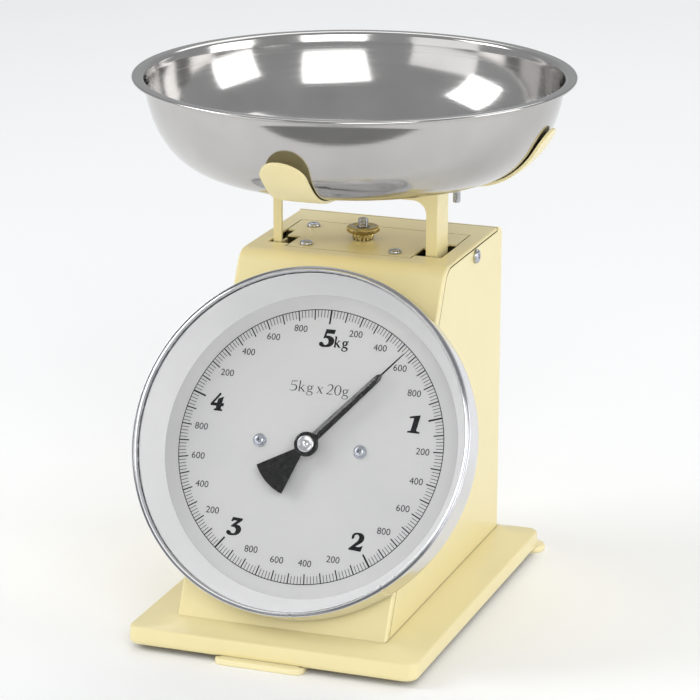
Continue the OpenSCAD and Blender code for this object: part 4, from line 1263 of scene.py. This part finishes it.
def spring(side_name):
    node = "spring_" + side_name
    low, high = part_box(node)
    wire = 0.6 * MM
    mid_x, mid_y = (low.x + high.x) / 2, (low.y + high.y) / 2
    radius = (high.x - low.x) / 2 - wire
    wire_shape = tube(coil_path(low.z + wire, high.z - wire, radius, 16), wire)
    obj = piece(node + "_coil", *wire_shape, "casing", "zinc", node, sharp=60, matrix=upright(mid_x, mid_y))
    obj.parent = None
    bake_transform(obj)
    return obj


spring("left")
spring("right")


# ---- studio ----

def staged(name, outline, material):
    """A flat sheet that belongs to the studio and not to the scale."""
    mesh = bpy.data.meshes.new(name)
    mesh.from_pydata(outline, [], [list(range(len(outline)))])
    mesh.materials.append(material)
    sheet = bpy.data.objects.new(name, mesh)
    bpy.context.scene.collection.objects.link(sheet)
    return sheet


def studio():
    """A pale floor, an even sky and five soft lamps."""
    half = 6.0
    corners = [(-half, -half, 0), (half, -half, 0), (half, half, 0), (-half, half, 0)]
    staged("studio_floor", corners, studio_paper())
    world = bpy.data.worlds.new("studio")
    bpy.context.scene.world = world
    world.use_nodes = True
    world.node_tree.nodes["Background"].inputs["Color"].default_value = (0.96, 0.98, 1.0, 1)
    world.node_tree.nodes["Background"].inputs["Strength"].default_value = 0.46

    def softbox(name, place, aim, size, watts):
        light = bpy.data.lights.new(name, "AREA")
        light.shape = "RECTANGLE"
        light.size, light.size_y = size
        light.energy = watts
        obj = bpy.data.objects.new(name, light)
        obj.location = place
        obj.rotation_euler = (Vector(aim) - Vector(place)).to_track_quat("-Z", "Y").to_euler()
        bpy.context.scene.collection.objects.link(obj)

    middle = (0, 0, 0.12)
    softbox("key_left", (-1.4, -0.55, 1.15), middle, (0.8, 0.8), 10.5)
    softbox("right_high", (1.0, -1.6, 1.15), middle, (1.4, 1.2), 16)
    softbox("side_right", (1.9, 0.2, 0.6), middle, (1.0, 1.0), 9.5)
    softbox("front_fill", (-1.2, -1.7, 0.5), middle, (1.6, 1.0), 5)
    softbox("overhead", (0.0, 1.6, 2.2), (0, 0.8, 0), (2.6, 1.6), 22)


def flag():
    """A dark card that only reflections see: it gives the bowl's bright metal its contrast."""
    material, tree = principled("flag", (0.26, 0.26, 0.26), Roughness=0.9)
    tint(tree, noise(tree, 4), (0.25, 0.25, 0.25), (0.27, 0.27, 0.27))
    middle_x, middle_y, lift = 0.36, -0.84, 0.002
    half_x, half_y, steps = 0.85, 0.47, 48
    turns = [TAU * k / steps for k in range(steps)]
    rim = [(middle_x + half_x * math.cos(a), middle_y + half_y * math.sin(a), lift) for a in turns]
    card = staged("studio_flag", rim, material)
    card.visible_camera = card.visible_diffuse = card.visible_shadow = False


def camera():
    """A long lens from the right of the dial, a little above it."""
    place = Vector((0.5404, -1.4970, 0.6087))
    yaw, pitch, roll = math.radians(19.83), math.radians(16.75), math.radians(0.21)
    ahead = Vector((-math.sin(yaw) * math.cos(pitch), math.cos(yaw) * math.cos(pitch), -math.sin(pitch)))
    level = Vector((math.cos(yaw), math.sin(yaw), 0))
    up = level.cross(ahead)
    right = level * math.cos(roll) + up * math.sin(roll)
    up = right.cross(ahead)
    data = bpy.data.cameras.new("camera")
    data.sensor_width = 36
    data.lens = 169.52
    data.clip_end = 50
    obj = bpy.data.objects.new("camera", data)
    rows = [[right[i], up[i], -ahead[i], place[i]] for i in range(3)]
    obj.matrix_world = Matrix(rows + [[0, 0, 0, 1]])
    bpy.context.scene.collection.objects.link(obj)
    bpy.context.scene.camera = obj


studio()
flag()
camera()
bpy.context.scene.view_settings.view_transform = "Standard"
